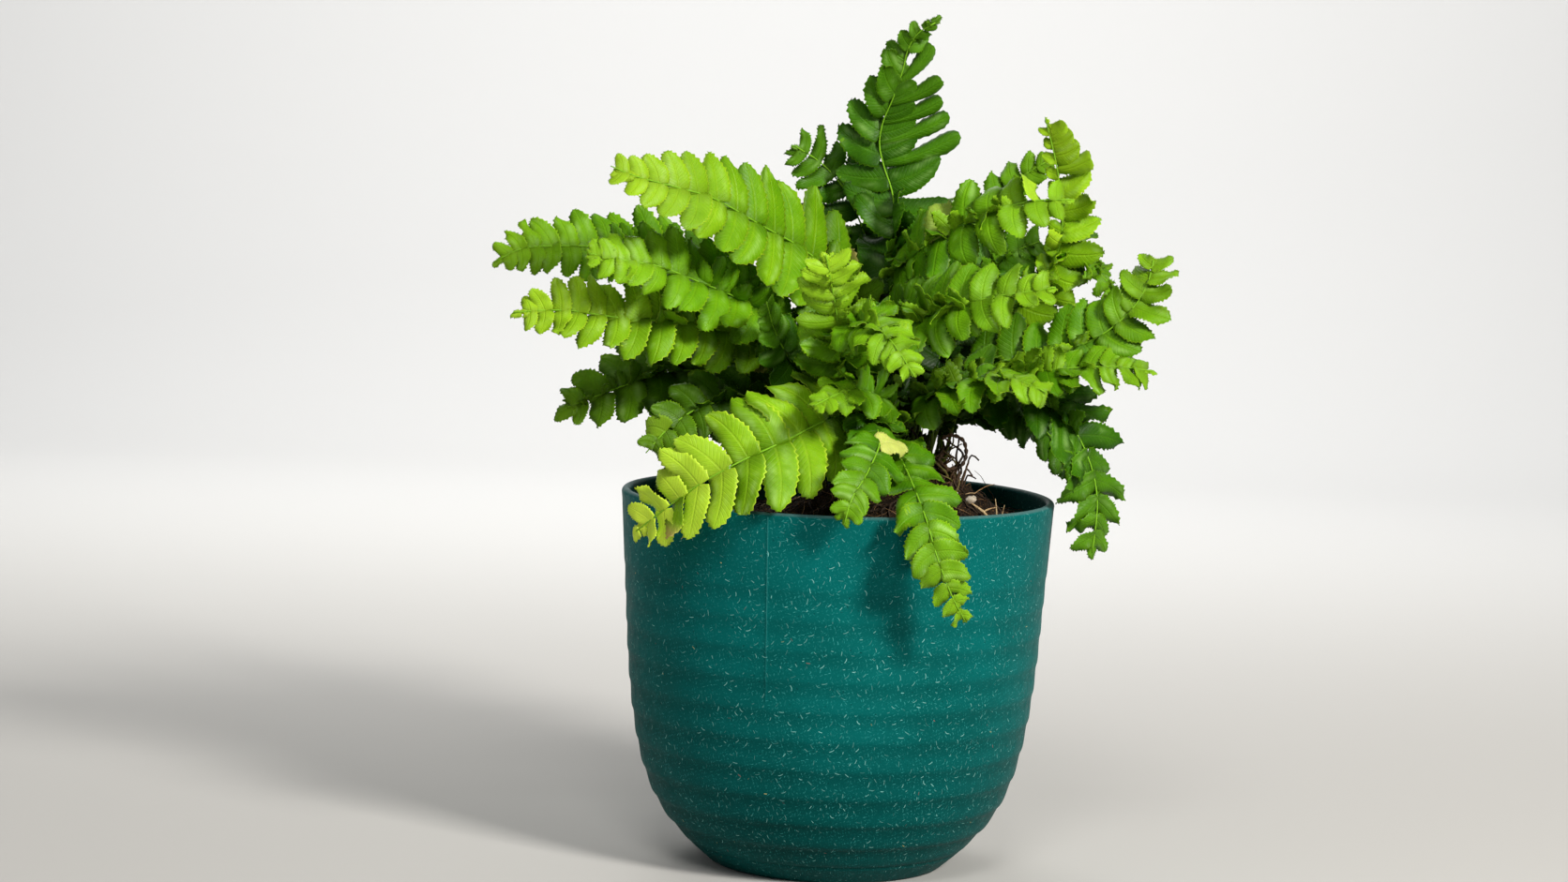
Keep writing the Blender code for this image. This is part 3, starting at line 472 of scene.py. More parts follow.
def potProfile():
    line = wallLine()
    length = sum((end - start).length for start, end in zip(line, line[1:]))
    outside = footLine()
    distance = 0.0
    while distance < length - pot["lipStart"]:
        point, normal = atDistance(line, distance)
        point = point + normal * ridgeAt(distance, point.y)
        outside.append((point.x, point.y))
        distance += pot["ringStep"]
    lip = pot["wall"] / 2
    middle = pot["rimRadius"] - lip
    for degrees in range(0, pot["lipTurn"] + 1, pot["lipStep"]):
        angle = math.radians(degrees)
        outside.append((middle + lip * math.cos(angle), pot["rimHeight"] - lip + lip * math.sin(angle)))
    inside = []
    for distance in pot["insideStops"]:
        point, normal = atDistance(line, distance)
        inner = point - normal * pot["wall"]
        inside.append((inner.x, inner.y))
    corner = inside[-1][0] - pot["insideCorner"]
    return outside + inside + [(corner, pot["floor"]), (pot["axis"], pot["floor"])]


def potAngles():
    even = [math.tau * side / pot["sides"] for side in range(pot["sides"])]
    parting = math.radians(pot["partingAngle"])
    width = pot["partingWidth"] / pot["rimRadius"]
    line = [parting + width * share for share in (-1.0, -0.5, 0.0, 0.5, 1.0)]
    return sorted([angle for angle in even if abs(angle - parting) > 1.5 * width] + line)


def onParting(angle, height):
    half = pot["partingProud"] * pot["partingWidth"] / pot["rimRadius"]
    return height > pot["partingLow"] and abs(angle - math.radians(pot["partingAngle"])) < half


def addPot():
    profile, angles = potProfile(), potAngles()
    count = len(angles)
    points, faces, unwrapped = [], [], []
    run = [0.0]
    for (r0, z0), (r1, z1) in zip(profile, profile[1:]):
        run.append(run[-1] + math.hypot(r1 - r0, z1 - z0))
    outer = next(n for n, (_, z) in enumerate(profile) if z > pot["rimHeight"] - pot["lipLow"])
    for number, (radius, height) in enumerate(profile):
        for angle in angles:
            proud = pot["partingHeight"] if number < outer and onParting(angle, height) else 0.0
            reach = radius + proud
            points.append((reach * math.cos(angle), reach * math.sin(angle), height))
    for ring in range(len(profile) - 1):
        for side in range(count):
            after = (side + 1) % count
            low, high = ring * count, (ring + 1) * count
            faces.append((low + side, low + after, high + after, high + side))
            start = angles[side]
            end = angles[after] if after else math.tau + angles[0]
            corners = ((start, run[ring]), (end, run[ring]), (end, run[ring + 1]), (start, run[ring + 1]))
            for angle, place in corners:
                unwrapped.append((angle * pot["rimRadius"] * mm, place * mm, 0.0))
    places = {"unwrapped": unwrapped, "marks": wallMarks(profile, angles, outer)}
    addMesh("pot_shell", points, faces, [potFinish()], places, node="pot")


def wallMarks(profile, angles, outer):
    # for each point: how deep it lies under a ridge, which sets the painted shade there, and whether it is on
    # the parting line
    marks, distance, foot = [], 0.0, len(footLine())
    for number, (_, height) in enumerate(profile):
        turn = (distance - pot["ridgeFirst"]) / pot["ridgePitch"]
        ridged = foot <= number < outer and -pot["ridgeUnder"] < turn < pot["ridgeCount"] - 1
        low, high = pot["grooveReach"]
        away = (turn % 1.0 - low) / (high - low)
        groove = max(0.0, math.sin(math.pi * away)) if ridged and 0 < away < 1 else 0.0
        groove *= max(pot["ridgeLeast"], 1 - height / pot["ridgeFade"])
        clear = min(1.0, (height - pot["partingLow"]) / pot["partingFade"])
        for angle in angles:
            marks.append((groove, clear if number < outer and onParting(angle, height) else 0.0, 0.0))
        if number >= foot:
            distance += pot["ringStep"]
    return marks


def potFinish():
    material, shader = newMaterial("teal moulded fibre")
    tree = material.node_tree
    place = vectorAttribute(tree, "unwrapped")
    cloud = useGroup(tree, mottle, {"Scale": 28.0, "Contrast": 2.2})
    marks = addNode(tree, "ShaderNodeSeparateXYZ", {"Vector": vectorAttribute(tree, "marks")}).outputs
    colour = blendColour(tree, cloud["Cloud"], pot["teal"], pot["tealLight"])
    # painted shade in the hollow under each ridge
    shade = calc(tree, "MULTIPLY", marks["X"], pot["grooveShade"])
    colour = blendColour(tree, shade, colour, pot["shadeColour"])
    height = addNode(tree, "ShaderNodeSeparateXYZ",
                     {"Vector": addNode(tree, "ShaderNodeTexCoord").outputs["Object"]}).outputs["Z"]
    # painted shade, darker towards the foot
    low, high, most = pot["footShade"]
    shade = between(tree, height, low * mm, high * mm, most, 0.0)
    colour = blendColour(tree, shade, colour, pot["shadeColour"])
    least = pot["fleckLeast"]
    for cell, length, width, share, seed, pale, amount in pot["fleckLayers"]:
        settings = {"Cell": cell * mm, "Length": length, "Width": width, "Share": share, "Seed": seed}
        found = useGroup(tree, flecks, {"Place": place, **settings})
        faint = calc(tree, "POWER", found["Pick"], pot["fleckFaint"])
        faint = calc(tree, "MULTIPLY_ADD", faint, (1 - least) * amount, least * amount)
        colour = blendColour(tree, calc(tree, "MULTIPLY", found["Mask"], faint), colour, pale)
    parting = calc(tree, "MULTIPLY", marks["Y"], pot["partingPale"])
    colour = blendColour(tree, parting, colour, pot["partingColour"])
    low, high, most = pot["lipWorn"]
    worn = between(tree, height, (pot["rimHeight"] - low) * mm, (pot["rimHeight"] - high) * mm, 0.0, most)
    colour = blendColour(tree, worn, colour, pot["lipColour"])
    tree.links.new(colour, shader.inputs["Base Color"])
    least, more = pot["roughness"]
    rough = calc(tree, "MULTIPLY_ADD", cloud["Grain"], more, least)
    tree.links.new(rough, shader.inputs["Roughness"])
    shader.inputs["Specular IOR Level"].default_value = 0.035
    bumpInto(tree, shader, cloud["Grain"], 0.0001, 0.6)
    return material


# Soil

soil = {
    "edge": 118.0,
    "moundCentre": (15.0, 2.0),
    "moundHeight": 19.0,
    "moundWidth": 30.0,
    "lump": 0.7,
    "lumpTurns": (0.31, 0.27, 0.13, 0.41),
    "lumpShift": 1.3,
    "rootBall": (40.0, -12.0, 9.0, 24.0),    # place, height and width of the rise under the dead stipes
    "reach": 70.5,
    "rings": 70,
    "sides": 180,
    "wallStops": (118, 92, 64, 40, 22),    # distances up the pot's wall, for the hidden side
    "wallGap": 0.4,
    "crumb": 1.1,              # height of the crumbs, whose three sizes follow as fineness and share
    "crumbs": ((0.22, 1.4), (0.6, 1.3), (1.7, 0.45)),
    "crumbSunk": 0.7,
    "fibres": dict(count=780, radius=(0.12, 0.34), length=(4, 15), rise=(-1.5, 2.2), bend=0.75,
                   room=3, sides=4),
    "lightFibres": 0.45,
    "fibreThick": (1.2, 0.8),  # of the dark ones and of the light ones
    "rootlets": dict(count=26, radius=(0.16, 0.32), length=(9, 22), rise=(-11, 3), bend=0.45,
                     room=8, sides=5),
    "strandSteps": 6,
    "strandProud": 0.15,
    "edgeRoom": 1.5,
    "turnBack": 0.97,          # how a strand that comes to the pot's wall is pulled in
    "thickest": 0.35,          # place along a strand where it is thickest
    "perlite": 16,
    "perliteReach": 66.0,
    "perliteSize": (0.5, 1.2),
    "perliteProud": 0.35,
    "pebble": dict(rings=7, sides=10, flat=0.75, knobs=1.6, knobbly=0.5),
    "seed": 21,
    "bigGrain": (45.0, -22.0, 2.0),
    "placedRoots": (           # points as x, y and height over the soil, then the root's radius
        (((45, -23, 1.0), (49, -26, 2.6), (52, -28, 1.6), (56, -30, 0.6)), 0.55),
        (((49, -26, 2.4), (51, -24, 3.6), (54, -23, 4.2)), 0.35),
        (((53, -29, 0.0), (53.4, -29.5, 3.5), (52.8, -30, 8.5)), 0.32),
        (((55, -29, 0.0), (55.2, -29, 3.0), (56, -29.5, 7.0)), 0.28),
        (((60, -20, 0.5), (62, -22, 3.5), (61, -25, 5.0)), 0.35),
    ),
    "dark": (0.005, 0.003, 0.001),
    "brown": (0.031, 0.017, 0.007),
    "fibreDark": (0.030, 0.014, 0.005),
    "fibreLight": (0.24, 0.12, 0.040),
    "rootletColour": (0.52, 0.38, 0.20),
    "perliteColour": (0.82, 0.80, 0.75),
}


def soilHeight(x, y):
    away = math.hypot(x - soil["moundCentre"][0], y - soil["moundCentre"][1])
    mound = soil["moundHeight"] * math.exp(-(away / soil["moundWidth"]) ** 2)
    one, two, three, four = soil["lumpTurns"]
    lumps = math.sin(x * one + soil["lumpShift"]) * math.cos(y * two) + math.sin(x * three - y * four)
    return soil["edge"] + mound + soil["lump"] * lumps


def crumbAt(x, y):
    place = Vector((x, y, 0))
    coarse, middle, fine = (noise.noise(place * size) * share for size, share in soil["crumbs"])
    return soil["crumb"] * (coarse + abs(middle) + fine - soil["crumbSunk"])


def soilTop(x, y):
    ballX, ballY, height, width = soil["rootBall"]
    away = math.hypot(x - ballX, y - ballY)
    return soilHeight(x, y) + crumbAt(x, y) + height * math.exp(-(away / width) ** 2)


def soilFinish():
    material, shader = newMaterial("crumbly peat")
    tree = material.node_tree
    cloud = useGroup(tree, mottle, {"Scale": 240.0, "Contrast": 2.6})
    colour = blendColour(tree, cloud["Cloud"], soil["dark"], soil["brown"])
    speck = between(tree, cloud["Grain"], 0.72, 0.95, 0.0, 0.7)
    colour = blendColour(tree, speck, colour, soil["fibreLight"])
    tree.links.new(colour, shader.inputs["Base Color"])
    shader.inputs["Roughness"].default_value = 0.95
    shader.inputs["Specular IOR Level"].default_value = 0.2
    bumpInto(tree, shader, cloud["Grain"], 0.0006)
    return material


def fibreFinish(name, dark, light, roughness):
    material, shader = newMaterial(name)
    tree = material.node_tree
    cloud = useGroup(tree, mottle, {"Scale": 150.0, "Contrast": 3.0})
    colour = blendColour(tree, cloud["Cloud"], dark, light)
    tree.links.new(colour, shader.inputs["Base Color"])
    shader.inputs["Roughness"].default_value = roughness
    bumpInto(tree, shader, cloud["Grain"], 0.0002)
    return material


def addSoil():
    rings, sides = soil["rings"], soil["sides"]
    points, faces = [], []
    for ring in range(rings):
        radius = soil["reach"] * (1 - ring / rings)
        for side in range(sides):
            angle = math.tau * side / sides
            x, y = radius * math.cos(angle), radius * math.sin(angle)
            points.append((x, y, soilTop(x, y)))
    points.append((0, 0, soilTop(0, 0)))
    for ring in range(rings - 1):
        for side in range(sides):
            after = (side + 1) % sides
            low, high = ring * sides, (ring + 1) * sides
            faces.append((low + side, low + after, high + after, high + side))
    low = (rings - 1) * sides
    for side in range(sides):
        faces.append((low + side, low + (side + 1) % sides, len(points) - 1))
    closeSoil(points, faces, sides)
    addMesh("soil_mound", points, faces, [soilFinish()], node="soil")


def closeSoil(points, faces, sides):
    # down inside the pot's wall to a flat bottom
    line = wallLine()
    last = 0
    for distance in soil["wallStops"]:
        point, normal = atDistance(line, distance)
        inner = point - normal * (pot["wall"] + soil["wallGap"])
        start = len(points)
        for side in range(sides):
            angle = math.tau * side / sides
            points.append((inner.x * math.cos(angle), inner.x * math.sin(angle), inner.y))
        for side in range(sides):
            after = (side + 1) % sides
            faces.append((last + after, last + side, start + side, start + after))
        last = start
    faces.append(tuple(last + side for side in reversed(range(sides))))


def layStrand(draw, reach, length, rise, bend):
    # points of a thin strand that lies on the soil, and stands up from it at its middle or its end
    angle, away = draw.uniform(0, math.tau), reach * math.sqrt(draw.random())
    x, y = away * math.cos(angle), away * math.sin(angle)
    heading = draw.uniform(0, math.tau)
    steps, turnBack = soil["strandSteps"], soil["turnBack"]
    line = []
    for step in range(steps + 1):
        lift = rise * math.sin(math.pi * step / steps) if rise > 0 else -rise * step / steps
        if math.hypot(x, y) > soil["reach"] - soil["edgeRoom"]:
            x, y = x * turnBack, y * turnBack
        line.append((x, y, soilTop(x, y) + soil["strandProud"] + lift))
        heading += draw.uniform(-bend, bend)
        x += math.cos(heading) * length / steps
        y += math.sin(heading) * length / steps
    return line


def addStrand(strands, draw, kind, thickness, finish):
    radius = draw.uniform(*kind["radius"]) * thickness
    length, rise = draw.uniform(*kind["length"]), draw.uniform(*kind["rise"])
    line = layStrand(draw, soil["reach"] - kind["room"], length, rise, kind["bend"])
    strands.add(*tubeMesh(line, taper(radius, len(line)), kind["sides"]), finish)


def addFibres():
    draw = random.Random(soil["seed"])
    strands = Gathered()
    for _ in range(soil["fibres"]["count"]):
        light = 1 if draw.random() < soil["lightFibres"] else 0
        addStrand(strands, draw, soil["fibres"], soil["fibreThick"][light], light)
    for _ in range(soil["rootlets"]["count"]):
        addStrand(strands, draw, soil["rootlets"], 1.0, 2)
    for places, radius in soil["placedRoots"]:
        line = smoothPath([(x, y, soilTop(x, y) + rise) for x, y, rise in places], 1.0)
        strands.add(*tubeMesh(line, taper(radius, len(line)), 6), 2)
    finishes = [
        fibreFinish("dark peat fibre", soil["fibreDark"], soil["brown"], 0.9),
        fibreFinish("light peat fibre", soil["brown"], soil["fibreLight"], 0.85),
        fibreFinish("pale rootlet", soil["fibreLight"], soil["rootletColour"], 0.7),
    ]
    strands.piece("soil_fibres", finishes, "soil")


def taper(radius, count):
    return [radius * (1 - abs(step / (count - 1) - soil["thickest"])) for step in range(count)]


def addPerlite():
    draw = random.Random(soil["seed"] + 1)
    grains = Gathered()
    for number in range(soil["perlite"]):
        angle, away = draw.uniform(0, math.tau), soil["perliteReach"] * math.sqrt(draw.random())
        x, y, size = away * math.cos(angle), away * math.sin(angle), draw.uniform(*soil["perliteSize"])
        if number == 0:
            x, y, size = soil["bigGrain"]
        centre = Vector((x, y, soilTop(x, y) + soil["perliteProud"] * size))
        grains.add(*pebble(centre, size, draw))
    material, shader = newMaterial("perlite")
    tree = material.node_tree
    cloud = useGroup(tree, mottle, {"Scale": 500.0, "Contrast": 2.0})
    colour = blendColour(tree, cloud["Cloud"], soil["rootletColour"], soil["perliteColour"])
    tree.links.new(colour, shader.inputs["Base Color"])
    shader.inputs["Roughness"].default_value = 0.9
    bumpInto(tree, shader, cloud["Grain"], 0.0003)
    grains.piece("soil_perlite", [material], "soil")


def pebble(centre, size, draw):
    shape = soil["pebble"]
    rings, sides = shape["rings"], shape["sides"]
    offset = Vector([draw.uniform(0, 50) for _ in range(3)])    # any place in the noise will do
    points, faces = [], []
    for ring in range(rings + 1):
        height = math.cos(math.pi * ring / rings) * shape["flat"]
        wide = max(0.02, math.sin(math.pi * ring / rings))    # the ends stay open for their own faces
        for side in range(sides):
            angle = math.tau * side / sides
            way = Vector((wide * math.cos(angle), wide * math.sin(angle), height))
            knob = noise.noise(way * shape["knobs"] + offset)
            points.append(centre + way * size * (1 + shape["knobbly"] * knob))
    for ring in range(rings):
        for side in range(sides):
            after = (side + 1) % sides
            low, high = ring * sides, (ring + 1) * sides
            faces.append((low + side, high + side, high + after, low + after))
    faces.append(tuple(reversed(range(sides))))
    faces.append(tuple(rings * sides + side for side in range(sides)))
    return points, faces


# Frond paths, the same as the model's

growth = {
    "seed": 8,
    "stipeHalf": 0.9,
    "rachisHalf": 0.65,
    "holeDepth": 10.0,
    "upright": 3.0,
    "kneePlace": 0.45,
    "kneeLift": 0.18,
    "rootSpacing": 4.9,
    "crownCore": 3.0,
    "crownWidth": 19.0,
    "start": 0.3,
    "end": 0.95,
    "leafMiddle": 0.42,
    "leafDroops": (0.4, 1.8),
    "leafTwist": 9.0,
    "bends": (0, 16, -16, 32, -32, 48, -48, 64),
    "trims": (1.0, 0.75, 0.5),
    "shortest": 2.5,
    "tipLength": 0.3,
    "shortestTip": 4.0,
    "pitchRange": (1.08, 0.4),    # spacing of the first leaflets, and how much less the last ones have
    "lastRoom": 0.9,           # share of the spacing that has to be left for one more pair
    "stipePitch": 15.0,
    "near": (0.8, 0.5),        # how close the model's leaflet has to lie at its middle and its tip
    "rootRounds": 200,
}

# Of each frond, path (points from the crown to the tip), face (where the blade's upper side looks), leaflet
# (length of the longest), pitch, lean, droop, ring (how far out it roots) and tone are the model's.
# What stands below them is only the look's, and mostly takes the place of the value of that name in blade:
#   look, glow: another tone, and how much lighter, partly as painted light. tipGlow, rowGlow: that towards
#       the tip, and painted light on one row
#   wider, longer, fill, lift, leanMore, rowLean: spacing, length, width and turn of the leaflets
#   ruffle, rolled: how uneven the leaflets are, and how much they roll
#   tipBoost, tipLeaf, uneven: length of the last leaflets, of the very last ones, and of one row
#   fillerReach: how far out the small leaflets under the blade go. turned: degrees round the rib
#   unposed: bend and length of leaflets that the model had no room for
#   marks: changes to single leaflets, by number and row. groups: rows of leaflets set out one by one,
#   which take the place of those in skip
fronds = {
    "frond_front_left": dict(
        path=[(1, -36, 159), (-6, -50, 158), (-19, -63, 152), (-34, -70, 145), (-47, -70, 137),
              (-58, -65, 128), (-67, -59, 120)],
        face=(0.1, -0.75, 0.65), leaflet=23, pitch=9.2, lean=10, droop=8, ring=0.8, tone="light",
        look="pale", glow=0.1, tipGlow=1.0, wider=1.2, fill=1.15, lift=28, leanMore=14, rowLean={-1: 16},
        ruffle=1.0, rolled=0.4, tipBoost=0.5, fillerReach=0.0,
        marks={(7, -1): {"dry": 0.9}}),
    "frond_drop_right": dict(
        path=[(16, -38, 151), (21, -62, 144), (27, -82, 131), (31, -89, 119), (36, -89, 107),
              (41, -87, 98)],
        face=(0.1, -0.9, 0.4), leaflet=14, pitch=8.0, lean=16, droop=10, ring=0.9, tone="bright",
        glow=-0.1, ruffle=1.5, fillerReach=0.0),
    "frond_drop_left": dict(
        path=[(9, -45, 160), (12, -62, 153), (8, -78, 144), (3, -86, 136), (1, -88, 128)],
        face=(0, -0.95, 0.3), leaflet=13, pitch=7.2, lean=16, droop=10, ring=0.9, tone="mid",
        ruffle=1.35, fillerReach=0.0,
        marks={(2, -1): {"dry": -1.0, "bend": -22, "lean": -40, "length": -1.5, "half": 0.5}}),
    "frond_front_low": dict(
        path=[(15, -30, 161), (8, -50, 168), (0, -64, 169), (-10, -76, 165)],
        face=(0, -0.6, 0.8), leaflet=13, pitch=7.4, lean=16, droop=14, ring=0.6, tone="light",
        look="bright", ruffle=1.5),
    "frond_front_centre": dict(
        path=[(4, -18, 160), (0, -40, 176), (-4, -60, 196), (-8, -72, 214)],
        face=(0, -0.9, 0.4), leaflet=15, pitch=7.2, lean=16, droop=12, ring=0.5, tone="light",
        look="bright", glow=0.15, tipGlow=0.85, wider=1.12, longer=1.15, fill=1.25, ruffle=1.4,
        tipBoost=1.0, fillerReach=0.9),
    "frond_centre_curl": dict(
        path=[(3, -24, 174), (0, -46, 187), (6, -64, 192), (14, -77, 187), (22, -84, 176)],
        face=(0.1, -0.8, 0.6), leaflet=15, pitch=7.4, lean=16, droop=12, ring=0.45, tone="bright",
        glow=0.15, ruffle=1.4, fillerReach=0.7),
    "frond_right_mid": dict(
        path=[(14, -22, 184), (24, -43, 193), (36, -58, 198), (48, -66, 202), (58, -70, 204),
              (67, -72, 206)],
        face=(0, -0.8, 0.6), leaflet=16, pitch=8.0, lean=6, droop=6, ring=0.5, tone="bright",
        glow=0.05, wider=1.3, longer=1.15, lift=20, ruffle=1.3, fillerReach=0.6),
    "frond_left_near": dict(
        path=[(-20, -14, 186), (-36, -26, 196), (-50, -36, 202), (-63, -45, 207), (-75, -52, 209),
              (-86, -56, 211)],
        face=(0.1, -0.7, 0.7), leaflet=17, pitch=7.6, lean=10, droop=10, ring=0.5, tone="bright",
        glow=0.35, rowGlow={1: 0.15}, wider=1.2, fill=1.3, lift=30, ruffle=1.25),
    "frond_left_low": dict(
        path=[(-22, -10, 179), (-45, -25, 186), (-58, -32, 188), (-75, -38, 189), (-91, -42, 191),
              (-101, -44, 191), (-111, -46, 190)],
        face=(0, -0.75, 0.65), leaflet=17, pitch=7.8, lean=10, droop=8, ring=0.7, tone="bright",
        look="light", glow=-0.2, rowGlow={1: 0.5}, fill=1.2, lift=30, ruffle=1.35),
    "frond_left_far": dict(
        path=[(-40, 13, 201), (-54, 11, 207), (-70, 8, 210), (-85, 5, 211), (-98, 0, 211),
              (-111, -5, 210), (-121, -8, 205)],
        face=(0, -0.6, 0.8), leaflet=17, pitch=7.4, lean=10, droop=10, ring=0.6, tone="mid",
        look="bright", glow=0.0, rowGlow={1: 0.2}, fill=1.2, lift=32, ruffle=1.25),
    "frond_upper_left": dict(
        path=[(-1, 2, 201), (-15, -10, 213), (-29, -28, 221), (-45, -46, 230), (-55, -55, 233),
              (-63, -60, 235), (-71, -64, 237), (-79, -66, 240)],
        face=(0.65, -0.6, 0.4), leaflet=23, pitch=9.4, lean=14, droop=4, ring=0.2, tone="light",
        glow=-0.3, start=0.42, wider=1.2, fill=1.2, ruffle=0.5, rolled=0.55, tipBoost=0.25,
        fillerReach=0.05),
    "frond_top": dict(
        path=[(18, 10, 198), (16, 12, 229), (12, 13, 242), (10, 12, 250), (11, 10, 258), (14, 6, 266),
              (17, 3, 276), (18, 0, 282), (21, -4, 288), (27, -8, 292)],
        face=(0, -1, 0.2), leaflet=22, pitch=8.0, lean=28, droop=4, ring=0.0, tone="deep",
        glow=-0.15, start=0.36, longer=0.86, fill=1.28, ruffle=1.3, rolled=0.4, tipBoost=-0.1,
        tipLeaf=0.6, fillerReach=0.3,
        groups=(
            dict(hand=1, start=0.44, end=0.72, skip=(0.4, 0.82), count=5, length=(29, 19),
                 half=(5.1, 4.7), lean=(0, 62), roll=1.55, shade=-0.6),
            dict(hand=1, start=0.48, end=0.67, skip=(0.4, 0.82), count=4, length=(15, 11),
                 half=(5.0, 4.2), lean=(8, 48), roll=0.5, shade=0.1),
            dict(hand=1, start=0.16, end=0.37, skip=(0.08, 0.4), count=3, length=(22, 21),
                 half=(6.2, 5.6), lean=(-6, 0), roll=0.5, shade=0.1),
        )),
    "frond_right_upper": dict(
        path=[(17, -5, 205), (26, -20, 216), (38, -30, 224), (48, -37, 229), (60, -42, 233),
              (73, -43, 234)],
        face=(0, -0.75, 0.65), leaflet=14, pitch=8.0, lean=-10, droop=8, ring=0.2, tone="light",
        look="bright", glow=0.0, wider=1.42, longer=1.3, ruffle=1.3, fillerReach=0.7,
        marks={
            (6, -1): {"dry": -0.25, "young": 0.9, "twist": 45, "curl": 45, "lean": -15, "length": 3,
                      "half": 1},
            (2, -1): {"dry": -0.35, "length": -3}
        }),
    "frond_right_upright": dict(
        path=[(50, 14, 188), (62, 10, 199), (72, 4, 212), (74, 0, 227), (71, -4, 244), (66, -8, 261)],
        face=(-0.75, -0.6, 0), leaflet=13, pitch=7.4, lean=14, droop=6, ring=0.5, tone="light",
        glow=0.6, longer=1.15, fill=1.3, ruffle=1.3, tipBoost=1.1, tipLeaf=0.55, uneven={-1: 0.5},
        turned=30,
        groups=(
            dict(hand=1, start=0.84, end=0.92, skip=(0.74, 1.01), count=3, length=(11, 8.5),
                 half=(4.8, 4.2), lean=(4, 14), roll=0.6, shade=-0.5),
            dict(hand=1, start=0.78, end=0.78, skip=(0.74, 1.01), count=1, length=(14, 14),
                 half=(4.8, 4.8), lean=(5, 5), roll=1.2, shade=-0.4),
        )),
    "frond_right_low": dict(
        path=[(33, -14, 169), (58, -22, 174), (78, -28, 177), (92, -30, 178), (104, -30, 177)],
        face=(0, -0.45, 0.9), leaflet=14, pitch=7.6, lean=10, droop=8, ring=0.8, tone="light",
        look="bright", glow=-0.75, longer=1.1, ruffle=1.0, tipBoost=1.4, fillerReach=0.7),
    "frond_right_far": dict(
        path=[(46, -5, 173), (68, -12, 179), (86, -17, 187), (97, -20, 197), (102, -20, 206),
              (104, -18, 214)],
        face=(-0.3, -0.8, 0.4), leaflet=15, pitch=7.8, lean=12, droop=8, ring=0.6, tone="bright",
        glow=-0.4, longer=1.1, fill=1.25, ruffle=1.3, tipBoost=1.2),
    "frond_right_droop": dict(
        path=[(46, 0, 168), (62, -8, 167), (76, -14, 159), (84, -17, 147), (88, -20, 132),
              (87, -22, 114)],
        face=(0.4, -0.6, 0.6), leaflet=18, pitch=8.6, lean=22, droop=14, ring=0.9, tone="deep",
        longer=1.12, fill=1.05, leanMore=22, ruffle=1.7),
    "frond_centre_low": dict(
        path=[(22, -20, 158), (32, -32, 168), (44, -42, 173), (56, -48, 174), (67, -52, 170)],
        face=(0.1, -0.5, 0.9), leaflet=13, pitch=7.8, lean=14, droop=14, ring=0.8, tone="mid",
        look="bright", glow=-0.1, wider=1.3, longer=1.3, ruffle=1.5, fillerReach=0.7),
    "frond_centre_right": dict(
        path=[(32, 6, 172), (38, 11, 188), (47, 14, 203), (57, 15, 213), (67, 14, 218)],
        face=(0, -0.85, 0.5), leaflet=15, pitch=8.2, lean=12, droop=8, ring=0.4, tone="deep",
        longer=1.25, fill=1.3, fillerReach=0.9),
    "frond_centre_back": dict(
        path=[(9, 16, 172), (1, 21, 190), (-8, 24, 203), (-18, 25, 213)],
        face=(0, -0.85, 0.5), leaflet=15, pitch=8.2, lean=12, droop=8, ring=0.3, tone="deep"),
    "frond_right_thin": dict(
        path=[(53, 20, 187), (65, 20, 203), (79, 16, 216), (90, 12, 206), (97, 10, 198)],
        face=(0.2, 0, 1), leaflet=9, pitch=7.4, lean=12, droop=8, ring=0.6, tone="mid",
        longer=2.2, ruffle=1.8, fillerReach=0.9, unposed=(24, 1.0)),
    "frond_left_dark": dict(
        path=[(-32, 10, 168), (-58, 5, 169), (-69, 0, 166), (-82, -5, 161), (-94, -8, 156)],
        face=(-0.2, -0.7, 0.5), leaflet=17, pitch=8.4, lean=14, droop=10, ring=0.9, tone="olive",
        glow=0.45, wider=1.55, longer=1.15, fill=1.25, lift=36, ruffle=1.2, rolled=0.5, tipLeaf=1.5,
        fillerReach=0.9),
    "frond_left_bottom": dict(
        path=[(-22, -8, 162), (-44, -18, 160), (-57, -24, 153), (-66, -28, 143)],
        face=(-0.1, -0.8, 0.5), leaflet=14, pitch=7.8, lean=14, droop=10, ring=1.0, tone="olive",
        fill=1.2, lift=30,
        marks={(5, 1): {"dry": -0.25, "bright": 1.0, "young": 0.8, "curl": 30, "half": 1.4}}),
    "frond_left_inner": dict(
        path=[(-8, -14, 164), (-18, -30, 176), (-24, -42, 187), (-27, -50, 197)],
        face=(0, -0.8, 0.5), leaflet=13, pitch=7.8, lean=16, droop=10, ring=0.4, tone="deep"),
    "frond_top_left_small": dict(
        path=[(8, 28, 213), (0, 27, 231), (-6, 24, 239), (-12, 20, 244), (-19, 16, 248)],
        face=(0, -0.8, 0.5), leaflet=13, pitch=6.8, lean=20, droop=8, ring=0.3, tone="deep",
        wider=1.35, longer=1.25, fill=0.8, ruffle=1.3, tipBoost=0.8, tipLeaf=0.6, fillerReach=0.1),
    "frond_droop_back": dict(
        path=[(37, 16, 160), (51, 20, 162), (66, 20, 156), (80, 19, 144), (90, 18, 132), (95, 17, 122)],
        face=(0.3, -0.8, 0.5), leaflet=12, pitch=8.0, lean=18, droop=10, ring=1.0, tone="deep"),
    "frond_back_right_up": dict(
        path=[(33, 36, 200), (48, 44, 224), (60, 46, 238), (71, 42, 246)],
        face=(0, -0.6, 0.8), leaflet=14, pitch=8.2, lean=14, droop=8, ring=0.4, tone="mid"),
}

